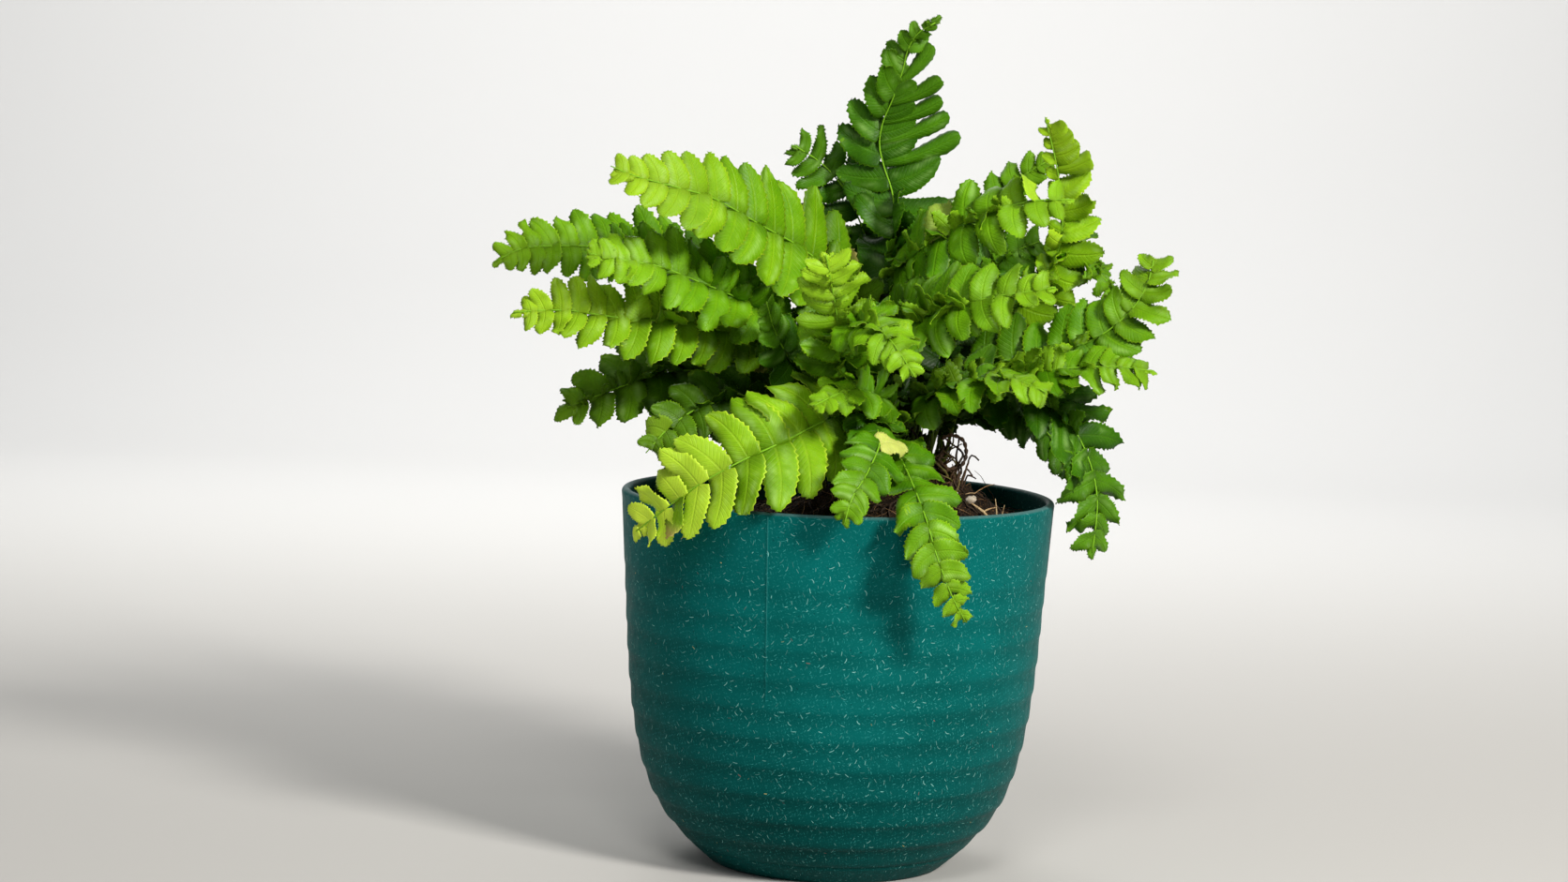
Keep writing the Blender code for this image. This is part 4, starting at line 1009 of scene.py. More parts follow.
backRow = {
    "kinds": {
        "low": dict(reach=84, crest=170, tip=132, bare=0.34, steep=0.55, leaflet=17, ring=1.0, tone="deep"),
        "middle": dict(reach=92, crest=196, tip=186, bare=0.34, steep=0.75, leaflet=17, ring=0.7, tone="mid"),
        "high": dict(reach=74, crest=232, tip=238, bare=0.3, steep=1.0, leaflet=17, ring=0.35, tone="mid"),
    },
    "order": ("low", "middle", "high", "low", "middle", "low", "high", "middle", "low"),
    "first": 34,
    "last": 166,
    "pitch": 8.2,
    "lean": 14,
    "droop": 9,
    "outward": 0.7,
    "heightDraw": 6,
    "reachDraw": 5,
    "shares": (0.5, 0.67, 0.84, 1.0),
    "crestPlace": 0.7,
    "fallStart": 0.6,
    "fallPower": 1.6,
}

stub = {
    "place": (40.0, -9.0),
    "radius": 2.4,
    "rise": 3.0,
    "wires": 8,
    "seed": 10,
    "half": 0.42,
    "height": (9, 22),
    "reach": (3, 9),
    "bends": ((0.3, 0.5), (0.8, 1.0)),
    "ends": ((1.1, 1.7), (0.7, 0.95)),
    "ring": 0.45,
    "sunk": 1.2,
    "curls": 38,
    "curlSeed": 4,
    "curlLean": (-6.0, 0.0),   # where the curls' middle lies from the stub
    "beaded": ((33, -12, 137.5), (37.5, -13.5, 139.8), (41.5, -13, 141), (43.2, -12.5, 145),
               (42, -12, 149.8), (38, -11.5, 151.4), (34.5, -11, 150)),
    "beads": (0.62, 0.22, 2.1),    # radius of that stem, how far its beads stand out, and their turn
    "body": ((0, 0, -8.0, 1.9), (0, 0, -1.0, 2.3), (0.2, 0, 1.4, 2.1), (0, 0.1, 2.6, 1.9),
             (0, 0, 3.0, 1.1)),    # points from the stub's place on the soil, and radius
    "wander": (0.35, 0.5),     # how fine and how far the wires wander
    "thin": (1.15, 0.6),       # radius at a stem's foot, and how much less at its end
    "curlSteps": 24,
    "curlTurns": (2.0, 6.5),
    "curlWide": (2.0, 5.0),
    "curlRise": (8, 18),
    "curlFoot": ((-11, 2), (-4, 3)),
    "curlSpread": ((-5, 5), (-4, 4)),
    "curlRadius": (0.26, 0.58),
    "dark": (0.018, 0.010, 0.005),
    "brown": (0.10, 0.05, 0.018),
    "olive": (0.16, 0.15, 0.03),
}


def backFronds():
    draw = random.Random(growth["seed"])
    specs = {}
    order = backRow["order"]
    for number, kind in enumerate(order):
        shape = backRow["kinds"][kind]
        share = number / (len(order) - 1)
        angle = math.radians(backRow["first"] + (backRow["last"] - backRow["first"]) * share)
        out = Vector((math.cos(angle), math.sin(angle), 0))
        lift = draw.uniform(-backRow["heightDraw"], backRow["heightDraw"])
        reach = shape["reach"] + draw.uniform(-backRow["reachDraw"], backRow["reachDraw"])
        path = [archPoint(out, place, reach, shape, lift) for place in (shape["bare"], *backRow["shares"])]
        specs[f"frond_back_{number + 1}"] = dict(
            path=path, face=out * backRow["outward"] + Vector((0, 0, shape["steep"])),
            leaflet=shape["leaflet"], pitch=backRow["pitch"], lean=backRow["lean"], droop=backRow["droop"],
            ring=shape["ring"], tone=shape["tone"])
    return specs


def archPoint(out, share, reach, shape, lift):
    ground = soil["edge"] + soil["moundHeight"]
    rise = 1 - max(0.0, 1 - share / backRow["crestPlace"]) ** 2
    fallStart = backRow["fallStart"]
    fall = max(0.0, (share - fallStart) / (1 - fallStart)) ** backRow["fallPower"]
    height = ground + (shape["crest"] - ground) * rise + (shape["tip"] - shape["crest"]) * fall + lift
    place = Vector((*soil["moundCentre"], 0)) + out * reach * share
    return (place.x, place.y, height)


def placeRoots(specs):
    spacing, centre = growth["rootSpacing"], Vector(soil["moundCentre"])
    roots = []
    for spec in specs.values():
        entry = Vector(spec["path"][1][:2]) - centre
        away = growth["crownCore"] + growth["crownWidth"] * spec["ring"]
        roots.append(centre + entry.normalized() * away)
    for _ in range(growth["rootRounds"]):
        for root in roots:
            apart = root - Vector(stub["place"])
            short = spacing + stub["radius"] - apart.length
            root += apart.normalized() * max(0.0, short)
        for number, root in enumerate(roots):
            for other in roots[:number]:
                apart = root - other
                push = apart.normalized() * max(0.0, spacing - apart.length) / 2
                root += push
                other -= push
    return dict(zip(specs, roots))


def smoothPath(points, step=2.0):
    points = [Vector(point) for point in points]
    ends = [2 * points[0] - points[1]] + points + [2 * points[-1] - points[-2]]
    path = []
    for before, start, end, after in zip(ends, ends[1:], ends[2:], ends[3:]):
        count = max(2, round((end - start).length / step))
        for number in range(count):
            part = number / count
            path.append(0.5 * (2 * start + (end - before) * part
                               + (2 * before - 5 * start + 4 * end - after) * part ** 2
                               + (3 * start - before - 3 * end + after) * part ** 3))
    return path + [points[-1]]


class Path:
    # a smooth curve with a frame (tangent, side, up) that can be read at any distance

    def __init__(self, points):
        self.points = smoothPath(points)
        self.distances = [0.0]
        for start, end in zip(self.points, self.points[1:]):
            self.distances.append(self.distances[-1] + (end - start).length)
        self.length = self.distances[-1]
        self.tangents = [self.tangentOf(number) for number in range(len(self.points))]
        self.ups = [self.tangents[0].orthogonal().normalized()]
        for start, end in zip(self.tangents, self.tangents[1:]):
            self.ups.append(start.rotation_difference(end) @ self.ups[-1])

    def tangentOf(self, number):
        low, high = max(0, number - 1), min(len(self.points) - 1, number + 1)
        return (self.points[high] - self.points[low]).normalized()

    def indexAt(self, distance):
        return next((number for number, reached in enumerate(self.distances)
                     if reached >= distance), len(self.points) - 1)

    def distanceOf(self, place):
        nearest = min(self.points, key=lambda point: (point - place).length)
        return self.distances[self.points.index(nearest)]

    def turnTo(self, face, distance):
        number = self.indexAt(distance)
        along, up = self.tangents[number], self.ups[number]
        wanted = face - along * face.dot(along)
        angle = math.atan2(along.dot(up.cross(wanted)), up.dot(wanted))
        self.ups = [Matrix.Rotation(angle, 3, tangent) @ up
                    for tangent, up in zip(self.tangents, self.ups)]

    def frameAt(self, distance):
        high = min(max(1, self.indexAt(distance)), len(self.points) - 1)
        low = high - 1
        span = self.distances[high] - self.distances[low]
        part = min(1.0, max(0.0, (distance - self.distances[low]) / span))
        tangent = self.tangents[low].lerp(self.tangents[high], part).normalized()
        up = self.ups[low].lerp(self.ups[high], part)
        up = (up - tangent * up.dot(tangent)).normalized()
        return self.points[low].lerp(self.points[high], part), tangent, tangent.cross(up), up


# Fronds

blade = {
    "columns": (-1.0, -0.8, -0.42, 0.0, 0.42, 0.8, 1.0),
    "fewColumns": (-1.0, -0.55, 0.0, 0.55, 1.0),
    "tipStart": 0.70,          # where along a leaflet its blunt tip starts
    "forwardEdge": ((0.0, 0.98), (0.06, 1.10), (0.2, 1.02), (0.6, 0.90), (0.8, 0.75), (0.92, 0.50),
                    (1.0, 0.10)),    # place along a leaflet, and its side's width over half a width
    "backEdge": ((0.0, 0.84), (0.08, 0.94), (0.35, 0.99), (0.55, 0.90), (0.75, 0.70), (0.9, 0.40),
                 (1.0, 0.08)),
    "fingerEdge": ((0.0, 0.42), (0.35, 0.64), (0.65, 0.95), (0.82, 1.0), (0.91, 0.86), (0.97, 0.60),
                   (1.0, 0.20)),
    "tipShift": (0.42, 2.2),   # how far the tip lies towards the frond's end, and the power of that bend
    "fill": 1.12,              # a leaflet's width over the spacing of its neighbours
    "slimmest": 0.42,          # and its least and its most width over its length
    "widest": 0.78,
    "secondShare": 0.35,       # share of leaflets that have a smaller one under them
    "secondAtFoot": 0.5,       # and how many more have one near the crown
    "wider": 1.12,             # spacing of the leaflets over the model's
    "tipCloser": 0.3,          # and how much closer the last ones stand
    "lift": 14.0,              # degrees that the row on the upper side stands up from the model's
    "fillerStep": 3.6,         # spacing of the leaflets that fill the crown, along a stipe
    "fillerReach": 0.45,       # and how far out on the rachis they grow
    "tipGlow": 0.35,           # how much yellower the last leaflets are
    "tipBoost": 0.55,          # how much the last leaflets are longer than the model's
    "thickness": 0.26,
    "tooth": 0.66,
    "toothLean": 0.34,
    "puff": 0.34,               # height of the swelling on both sides of the midrib
    "roll": (0.15, 0.85),      # how far the sides bend down, in radians at the margin
    "shingle": 15.0,           # degrees that the forward edge dips under the next leaflet
    "leanMore": 12.0,          # degrees that the last leaflets lean more than the first
    "wave": 0.95,
    "veinRelief": 0.03,
    "sickle": 13.0,            # degrees that a leaflet curves towards the frond's tip
    "ribRadius": (1.0, 0.34, 0.20),
    "ribProud": 0.22,          # how far the rib stands over the leaflets' feet
    "paintedCrownShade": (14.0, 56.0, 186.0, 216.0),    # painted shade in the crown: distances from the crown's middle, and heights
    "innerLeast": 22.0,        # lowest place on a stipe, from its end in the soil, for a leaflet
    "innerKeepOut": ((27.0, -40.0, 110.0), (60.0, 12.0, 166.0)),    # room for the dead stipes
    "keepOutBelow": 150.0,
    "soilRoom": (73.0, 1.5),   # inside this radius a leaflet stays this far over the soil
    "lipRoom": (68.0, 77.0, 0.5),    # between these radii it stays this far over the pot's lip
    "testPoints": 24,
    "sparser": 2.2,            # how much wider the fillers stand on the fronds at the back
    "lastPart": 0.6,           # share of a blade from which its leaflets count as the last ones
    "glowStart": 0.5,
    "leastLength": 3.5,
    "sickleFrom": 0.35,
    "droopSpread": (0.1, 2.1),    # a leaflet's droop at its foot, and how much more at its tip
    "thinEdge": 0.55,          # how much thinner a leaflet is at its margin
    "keel": (0.16, 0.7),       # how far the midrib stands out below, and how much less at the tip
    "notch": -0.35,            # how far the edge goes in between two teeth, which go out by 1
    "toothless": 0.1,
    "toothEdge": 8,            # the power that keeps the teeth at the very edge
    "unevenTeeth": (0.72, 0.42, 3.3),
    "waveTurns": (1.3, 0.3, 0.4),    # turns along a leaflet and between its sides, and share at its foot
    "veinSlant": 0.7,
    "draws": {"length": (-0.08, 0.08), "lean": (-9, 9), "droop": (-11, 11), "curl": (-18, 34),
              "twist": (-9, 9), "twistMore": (-20, 20)},
    "shade": (0.5, 0.75, 0.8),    # at a blade's foot, how much less at its tip, and the power
    "toneDraw": 0.28,
    "dryShare": 0.004,         # share of leaflets that are dry at their end
    "tipLeaves": ((0, 1.0, 1.0), (38, 0.62, 2.4), (-34, 0.66, 3.2), (52, 0.7, 4.4)),    # turn, size, place
    "ribStep": 3.0,
    "ribSides": 8,
}

tones = {
    "light": {"dark": (0.072, 0.215, 0.001), "light": (0.285, 0.530, 0.007), "edge": (0.44, 0.62, 0.03)},
    "pale": {"dark": (0.072, 0.215, 0.001), "light": (0.300, 0.540, 0.010), "edge": (0.62, 0.83, 0.060)},
    "bright": {"dark": (0.042, 0.160, 0.001), "light": (0.185, 0.420, 0.005), "edge": (0.32, 0.54, 0.018)},
    "mid": {"dark": (0.024, 0.108, 0.001), "light": (0.125, 0.330, 0.004), "edge": (0.24, 0.45, 0.012)},
    "deep": {"dark": (0.013, 0.070, 0.001), "light": (0.074, 0.225, 0.003), "edge": (0.15, 0.34, 0.010)},
    "olive": {"dark": (0.022, 0.080, 0.001), "light": (0.090, 0.225, 0.002), "edge": (0.17, 0.32, 0.008)},
}


class LeafGrid:
    # the places along and across a leaflet that its points lie at, and the faces between them

    def __init__(self, bodyRows, tipRows, columns, edges=("forwardEdge", "backEdge")):
        body = np.linspace(0.0, blade["tipStart"], bodyRows)
        angles = np.linspace(0.0, math.pi / 2, tipRows + 1)[1:]
        self.along = np.concatenate([body, blade["tipStart"] + (1 - blade["tipStart"]) * np.sin(angles)])
        self.across = np.array(columns)
        forward, back = (np.interp(self.along, *zip(*blade[edge])) for edge in edges)
        self.widths = np.where(self.across[None, :] > 0, forward[:, None], back[:, None])
        rows = len(self.along)
        teeth = np.where(np.arange(rows) % 2 == 1, 1.0, blade["notch"])
        self.tooth = (teeth * (self.along > blade["toothless"]))[:, None]
        self.lower = (0, len(columns) // 2, len(columns) - 1)    # the underside has fewer columns
        self.faces = {1: self.sheetFaces(rows, len(columns))}
        self.faces[-1] = [tuple(reversed(face)) for face in self.faces[1]]
        place = np.stack(np.broadcast_arrays(self.along[:, None], self.across[None, :]), axis=-1)
        sheets = (place.reshape(-1, 2), place[:, self.lower].reshape(-1, 2))
        under = np.repeat((0.0, 1.0), [len(sheet) for sheet in sheets])
        self.places = np.column_stack([np.concatenate(sheets), under])

    def sheetFaces(self, rows, columns):
        # a closed sheet: its upper points come first, then its lower ones
        below, few = rows * columns, len(self.lower)
        faces = []
        for row in range(rows - 1):
            for column in range(columns - 1):
                start = row * columns + column
                faces.append((start, start + columns, start + columns + 1, start + 1))
            for column in range(few - 1):
                start = below + row * few + column
                faces.append((start, start + 1, start + few + 1, start + few))
            for edge in (0, 1):
                top, bottom = row * columns + edge * (columns - 1), below + row * few + edge * (few - 1)
                side = (top, bottom, bottom + few, top + columns)
                faces.append(tuple(reversed(side)) if edge else side)
        last, lastBelow = (rows - 1) * columns, below + (rows - 1) * few
        faces.append((*range(columns), *(below + column for column in reversed(range(few)))))
        faces.append((*(lastBelow + column for column in range(few)),
                      *(last + column for column in reversed(range(columns)))))
        return faces


fineGrid = LeafGrid(17, 8, blade["columns"])
plainGrid = LeafGrid(9, 6, blade["fewColumns"])
fingerGrid = LeafGrid(13, 8, blade["columns"], ("fingerEdge", "fingerEdge"))


def leafPoints(base, out, tangent, up, hand, form, grid):
    # the upper and the lower points of one leaflet
    u = grid.along[:, None]
    least, more = blade["droopSpread"]
    lean = np.radians(form["lean"] + form["sickle"] * (u - blade["sickleFrom"]))
    fall = np.radians(form["bend"] + form["droop"] * (least + more * u) + form["curl"] * u ** 3)
    base, out, tangent, up = (np.array(vector) for vector in (base, out, tangent, up))
    flat = out * np.cos(lean) + tangent * np.sin(lean)
    way = flat * np.cos(fall) - up * np.sin(fall)
    face = up * np.cos(fall) + flat * np.sin(fall)
    steps = (way[1:] + way[:-1]) / 2 * np.diff(grid.along)[:, None] * form["length"]
    spine = base + np.concatenate([np.zeros((1, 3)), np.cumsum(steps, axis=0)])
    across = np.cross(face, way) * hand
    twist = np.radians(form["twist"] + form["twistMore"] * u)
    across, face = (across * np.cos(twist) - face * np.sin(twist),
                    face * np.cos(twist) + across * np.sin(twist))
    sideways, high, forward = leafRelief(form, grid)
    sheet = (spine[:, None, :] + across[:, None, :] * sideways[..., None]
             + face[:, None, :] * high[..., None] + way[:, None, :] * forward[..., None])
    v = grid.across[None, :]
    thick = blade["thickness"] / 2 * (1 - blade["thinEdge"] * v ** 2) * np.ones_like(u)
    deep, fade = blade["keel"]
    keel = np.where(v == 0, deep, 0.0) * (1 - fade * u)
    upper = sheet + face[:, None, :] * thick[..., None]
    lower = (sheet - face[:, None, :] * (thick + keel)[..., None])[:, grid.lower]
    return np.concatenate([upper.reshape(-1, 3), lower.reshape(-1, 3)])


def leafRelief(form, grid):
    # the outline, the bent cross-section, the swellings, veins and teeth
    u, v, w = grid.along[:, None], grid.across[None, :], grid.widths
    half = form["half"] * w
    roll = form["roll"]
    shift, power = blade["tipShift"]
    sideways = half * np.sin(roll * v) / roll + form["half"] * shift * u ** power
    high = -half * (1 - np.cos(roll * v)) / roll
    high = high + form["puff"] * np.sin(math.pi * np.abs(v)) * np.minimum(1.0, w * 1.5)
    turns, apart, least = blade["waveTurns"]
    turn = math.tau * (turns * u + form["phase"] + apart * np.sign(v))
    high = high + form["wave"] * v ** 2 * np.sin(turn) * (least + (1 - least) * u)
    ripple = np.sin(math.tau * (form["veins"] * u - blade["veinSlant"] * np.abs(v)))
    high = high + blade["veinRelief"] * np.abs(v) * (1 - np.abs(v)) * 4 * ripple
    middle, swing, turns = blade["unevenTeeth"]
    uneven = middle + swing * np.sin(math.tau * (7 * form["phase"] + turns * u + 0.4 * np.sign(v)))
    edge = np.abs(v) ** blade["toothEdge"] * form["size"] * uneven
    sideways = sideways + np.sign(v) * edge * grid.tooth * blade["tooth"]
    forward = edge * np.maximum(grid.tooth, 0) * blade["toothLean"]
    return sideways, high, forward


def lastPart(share, start):
    # from 0 at that share of a blade to 1 at its tip
    return max(0.0, (share - start) / (1 - start))


class Frond:
    # one frond's path, its stations and the leaflets of the model that it follows

    def __init__(self, name, spec, root):
        self.name, self.spec = name, spec
        depth, upright = growth["holeDepth"], growth["upright"]
        floor = Vector((*root, soilHeight(*root) - depth))
        rise = Vector((0, 0, depth + upright))
        entry = Vector(spec["path"][0])
        knee = (floor + rise).lerp(entry, growth["kneePlace"])
        knee.z += growth["kneeLift"] * (entry - floor).length
        self.path = Path([floor, floor + rise / 2, floor + rise, knee, *spec["path"]])
        self.bare = self.path.distanceOf(entry)
        self.path.turnTo(Vector(spec["face"]), (self.bare + self.path.length) / 2)
        self.stations = self.placeStations()

    def placeStations(self, wider=1.0, closer=0.0):
        reached, length = self.bare, self.path.length
        stations = [reached]
        while length - reached > growth["lastRoom"] * wider * (1 - closer) * self.pitchAt(reached):
            late = lastPart(self.share(reached), blade["lastPart"])
            reached += wider * self.pitchAt(reached) * (1 - closer * late)
            stations.append(min(reached, length))
        return stations

    def stipeStations(self):
        knee = growth["holeDepth"] + growth["upright"]
        return 1 + max(2, round((self.bare - knee) / growth["stipePitch"]))

    def share(self, distance):
        return min(1.0, max(0.0, (distance - self.bare) / (self.path.length - self.bare)))

    def pitchAt(self, distance):
        first, less = growth["pitchRange"]
        return self.spec["pitch"] * (first - less * self.share(distance))

    def leafLength(self, distance):
        start = self.spec.get("start", growth["start"])
        place = start + (growth["end"] - start) * self.share(distance)
        return self.spec["leaflet"] * math.sin(math.pi * place)

    def halfAt(self, distance):
        stipe, rachis = growth["stipeHalf"], growth["rachisHalf"]
        return stipe + (rachis - stipe) * min(1.0, distance / self.bare)

    def modelTip(self, distance, hand, bend, trim):
        # middle and tip of the model's leaflet for one bend and one length
        point, tangent, side, up = self.path.frameAt(distance)
        out = side * hand
        lean = math.radians(self.spec["lean"])
        flat = out * math.cos(lean) + tangent * math.sin(lean)
        place = point + out * self.halfAt(distance)
        places = []
        for part, droop in zip((growth["leafMiddle"], 1 - growth["leafMiddle"]), growth["leafDroops"]):
            fall = math.radians(droop * self.spec["droop"] + bend)
            way = flat * math.cos(fall) - up * math.sin(fall)
            place = place + way * self.leafLength(distance) * trim * part
            places.append(place)
        return places

    def modelPose(self, tree, distance, hand):
        # the bend and the length that the model gave this leaflet to clear the others
        for trim in growth["trims"]:
            for bend in growth["bends"]:
                if self.leafLength(distance) * trim < growth["shortest"]:
                    continue
                places = self.modelTip(distance, hand, bend, trim)
                away = [tree.find_nearest(place * mm)[3] / mm for place in places]
                if all(far < most for far, most in zip(away, growth["near"])):
                    return bend, trim
        return None


def leafForm(frond, distance, draw, pose, spacing, hand, number):
    spec = frond.spec
    bend, trim = pose
    share = frond.share(distance)
    ruffle, rolled = spec.get("ruffle", 1.0), spec.get("rolled", 1.0)
    boost = 1 + spec.get("tipBoost", blade["tipBoost"]) * lastPart(share, blade["lastPart"]) ** 1.5
    length = frond.leafLength(distance) * trim * boost * spec.get("longer", 1.0)
    length = max(length * spec.get("uneven", {}).get(hand, 1.0), blade["leastLength"])
    wide = spacing * spec.get("fill", blade["fill"]) * draw.uniform(0.92, 1.08)
    wide = min(max(wide, blade["slimmest"] * length), blade["widest"] * length)
    jitter = random.Random(f"{growth['seed']}{frond.name}{number}{hand}")
    modelTwist = jitter.uniform(-growth["leafTwist"], growth["leafTwist"])
    side = frond.path.frameAt(distance)[2]
    if (side * hand).z > 0.2:
        bend -= spec.get("lift", blade["lift"])
    lean = spec["lean"] - 6 + spec.get("leanMore", blade["leanMore"]) * share

    def drawn(key):
        return draw.uniform(*blade["draws"][key]) * ruffle

    return {
        "length": length * (1.05 + drawn("length")),
        "half": wide / 2,
        "lean": lean + spec.get("rowLean", {}).get(hand, 0.0) + drawn("lean"),
        "sickle": blade["sickle"] * draw.uniform(0.5, 1.5),
        "bend": bend,
        "droop": spec["droop"] + drawn("droop"),
        "curl": drawn("curl"),
        "twist": blade["shingle"] - modelTwist * hand * 0.7 + drawn("twist"),
        "twistMore": drawn("twistMore"),
        "roll": draw.uniform(*blade["roll"]) * draw.choice((1, 1, 1, -0.6)) * rolled,
        "puff": blade["puff"] * draw.uniform(0.6, 1.4) * min(1.0, length / 14) * rolled,
        "wave": blade["wave"] * draw.uniform(0.5, 1.5) * ruffle * min(1.0, length / 12),
        "phase": draw.random(),
        "veins": length / 3.2,
        "size": min(1.0, 0.3 + length / 24),
    }


def addFrond(name, spec, root, looks):
    frond = Frond(name, spec, root)
    node = frame["nodes"][name]
    tree = BVHTree.FromPolygons([vertex.co for vertex in node.data.vertices],
                                [face.vertices for face in node.data.polygons])
    draw = random.Random(f"leaflets {name}")
    shapes = Gathered()
    first = frond.stipeStations()
    grid = plainGrid if name in backOnes else fineGrid
    groups, turn = spec.get("groups", ()), math.radians(spec.get("turned", 0))
    modelled = [(start + end) / 2 for start, end in zip(frond.stations, frond.stations[1:])]
    poses = {(middle, hand): frond.modelPose(tree, middle, hand)
             for middle in modelled for hand in (1, -1)}
    stations = frond.placeStations(spec.get("wider", blade["wider"]), blade["tipCloser"])
    foot, less, power = blade["shade"]
    for number, (start, end) in enumerate(zip(stations, stations[1:])):
        distance = (start + end) / 2
        share = frond.share(distance)
        nearest = min(modelled, key=lambda middle: abs(middle - distance))
        for hand in (1, -1):
            pose = poses[nearest, hand] or spec.get("unposed")
            byHand = any(group["hand"] == hand and group["skip"][0] < share < group["skip"][1]
                         for group in groups)
            if byHand or pose is None:
                continue
            form = leafForm(frond, distance, draw, pose, end - start, hand, first + number)
            mark = spec.get("marks", {}).get((number, hand), {})
            form.update({key: form[key] + more for key, more in mark.items() if key in form})
            # rowGlow lifts one row's tone as painted light, where it lies in another frond's shadow
            shade = foot - less * share ** power - spec.get("rowGlow", {}).get(hand, 0.0)
            addLeaf(shapes, frond, distance, hand, form, draw, shade, grid, mark, turn)
            often = blade["secondShare"] + blade["secondAtFoot"] * max(0.0, 1 - 3 * share)
            if draw.random() < often * spec.get("ruffle", 1.0):
                addSecond(shapes, frond, distance, hand, form, draw, shade)
    for group in groups:
        addGroup(shapes, frond, draw, group)
    addTip(shapes, frond, draw)
    addInner(shapes, frond, draw)
    addFillers(shapes, frond, draw, blade["sparser"] if name in backOnes else 1.0)
    addRib(shapes, frond)
    finishes = [looks[spec.get("look", spec["tone"])], looks["rib"]]
    shapes.piece(f"{name}_leaves", finishes, f"frond_{spec['tone']}", name)
    print(f"{name}: {len(shapes.faces)} faces")


def addLeaf(shapes, frond, distance, hand, form, draw, shade, grid, mark=None, turn=0.0):
    mark = mark or {}
    point, tangent, side, up = frond.path.frameAt(distance)
    if turn:
        spin = Matrix.Rotation(turn, 3, tangent)
        side, up = spin @ side, spin @ up
    base = point - side * hand * 0.3
    points = leafPoints(base, side * hand, tangent, up, hand, form, grid)
    if not clearOfPot(points):
        return
    # glow lifts a frond's tone, partly its own colour and partly painted light
    glow = frond.spec.get("glow", 0.0) + mark.get("bright", 0.0)
    tone = 0.5 + draw.uniform(-blade["toneDraw"], blade["toneDraw"]) - shade + glow
    chance = draw.uniform(0.5, 1.0) if draw.random() < blade["dryShare"] else 0.0
    late = lastPart(frond.share(distance), blade["glowStart"])
    tipGlow = frond.spec.get("tipGlow", blade["tipGlow"]) * late
    # the look's third value: above 0 painted crown shade, below 0 the yellow of young and last leaflets
    depth = -mark.get("young", 0.0) if mark else paintedCrownShadeAt(point) - tipGlow
    look = (min(1.0, max(0.0, tone)), mark.get("dry", chance), depth)
    shapes.add(points, grid.faces[hand], 0, leafPlace=grid.places, leafLook=np.tile(look, (len(points), 1)))


def paintedCrownShadeAt(point):
    # painted shade: 1 in the middle of the crown, where shade falls, and 0 outside and above it
    away = math.hypot(point.x - soil["moundCentre"][0], point.y - soil["moundCentre"][1])
    nearest, farthest, low, high = blade["paintedCrownShade"]
    inward = min(1.0, max(0.0, (farthest - away) / (farthest - nearest)))
    return inward * min(1.0, max(0.0, (high - point.z) / (high - low)))


def clearOfPot(points):
    # not in the soil, nor through the pot's lip, nor where the dead stipes stand
    low, high = np.array(blade["innerKeepOut"])
    tips = points[:: max(1, len(points) // blade["testPoints"])]
    among = np.any(np.all((tips > low) & (tips < high), axis=1))
    if among and points[:, 2].min() < blade["keepOutBelow"]:
        return False
    within, overSoil = blade["soilRoom"]
    inner, outer, overLip = blade["lipRoom"]
    for point in tips:
        away = math.hypot(point[0], point[1])
        if away < within and point[2] < soilHeight(point[0], point[1]) + overSoil:
            return False
        if inner < away < outer and point[2] < pot["rimHeight"] + overLip:
            return False
    return True


def addSecond(shapes, frond, distance, hand, form, draw, shade):
    # a smaller leaflet under a full one
    small = draw.uniform(0.5, 0.78)
    changes = {"length": form["length"] * small, "half": form["half"] * small * 1.1,
               "bend": form["bend"] + draw.uniform(22, 48), "lean": form["lean"] + draw.uniform(-22, 22),
               "twist": draw.uniform(-20, 20), "roll": draw.uniform(0.3, 1.2)}
    place = distance + draw.uniform(-2, 2)
    # a little darker than the leaflet over it: painted shade
    addLeaf(shapes, frond, place, hand, {**form, **changes}, draw, shade + 0.1, plainGrid)


leafKinds = {    # small leaflets: a pair is drawn between, and half is over the length
    "inner": {"half": (0.27, 0.34), "lean": (-14, 14), "sickle": (-5, 20), "bend": (-12, 26),
              "droop": (-5, 15), "curl": (-10, 40), "twist": (-12, 26), "twistMore": (-20, 20),
              "roll": (0.3, 1.2), "puff": 0.4, "wave": 0.6, "veins": 4, "size": 0.9},
    "filler": {"half": (0.26, 0.36), "lean": (-25, 45), "sickle": (-10, 25), "bend": (-10, 20),
               "droop": (0, 25), "curl": (-20, 50), "twist": (-30, 30), "twistMore": (-25, 25),
               "roll": (0.2, 1.0), "puff": 0.25, "wave": 0.7, "veins": 3, "size": 0.9},
    "tip": {"half": 0.44, "lean": 0, "sickle": 0, "bend": 4, "droop": (0, 16), "curl": (0, 40),
            "twist": (-12, 12), "twistMore": 0, "roll": (0.4, 1.0), "puff": 0.2, "wave": 0.4,
            "veins": 3, "size": 0.7},
    "placed": {"half": 1, "sickle": 12, "bend": -12, "droop": 4, "curl": 0, "twist": 5,
               "twistMore": 0, "puff": 0.1, "wave": 0.2, "veins": 5, "size": 0.45},
}


def drawForm(draw, kind, length):
    form = {"length": length}
    for key, value in leafKinds[kind].items():
        form[key] = draw.uniform(*value) if isinstance(value, tuple) else value
    form["half"] *= length
    form["phase"] = draw.random()
    return form


def addGroup(shapes, frond, draw, group):
    # leaflets that the photo shows one by one: rolled like fingers, or broad
    grid = fingerGrid if group["roll"] > 1 else fineGrid
    turn = math.radians(frond.spec.get("turned", 0))
    for number in range(group["count"]):
        part = number / max(1, group["count"] - 1)
        share = group["start"] + (group["end"] - group["start"]) * part
        form = drawForm(draw, "placed", 1.0)
        form["roll"] = group["roll"] + draw.uniform(-0.1, 0.1)
        for key in ("length", "half", "lean"):
            first, last = group[key]
            form[key] = (first + (last - first) * part) * draw.uniform(0.96, 1.04)
        distance = frond.bare + (frond.path.length - frond.bare) * share
        addLeaf(shapes, frond, distance, group["hand"], form, draw, group["shade"], grid, turn=turn)


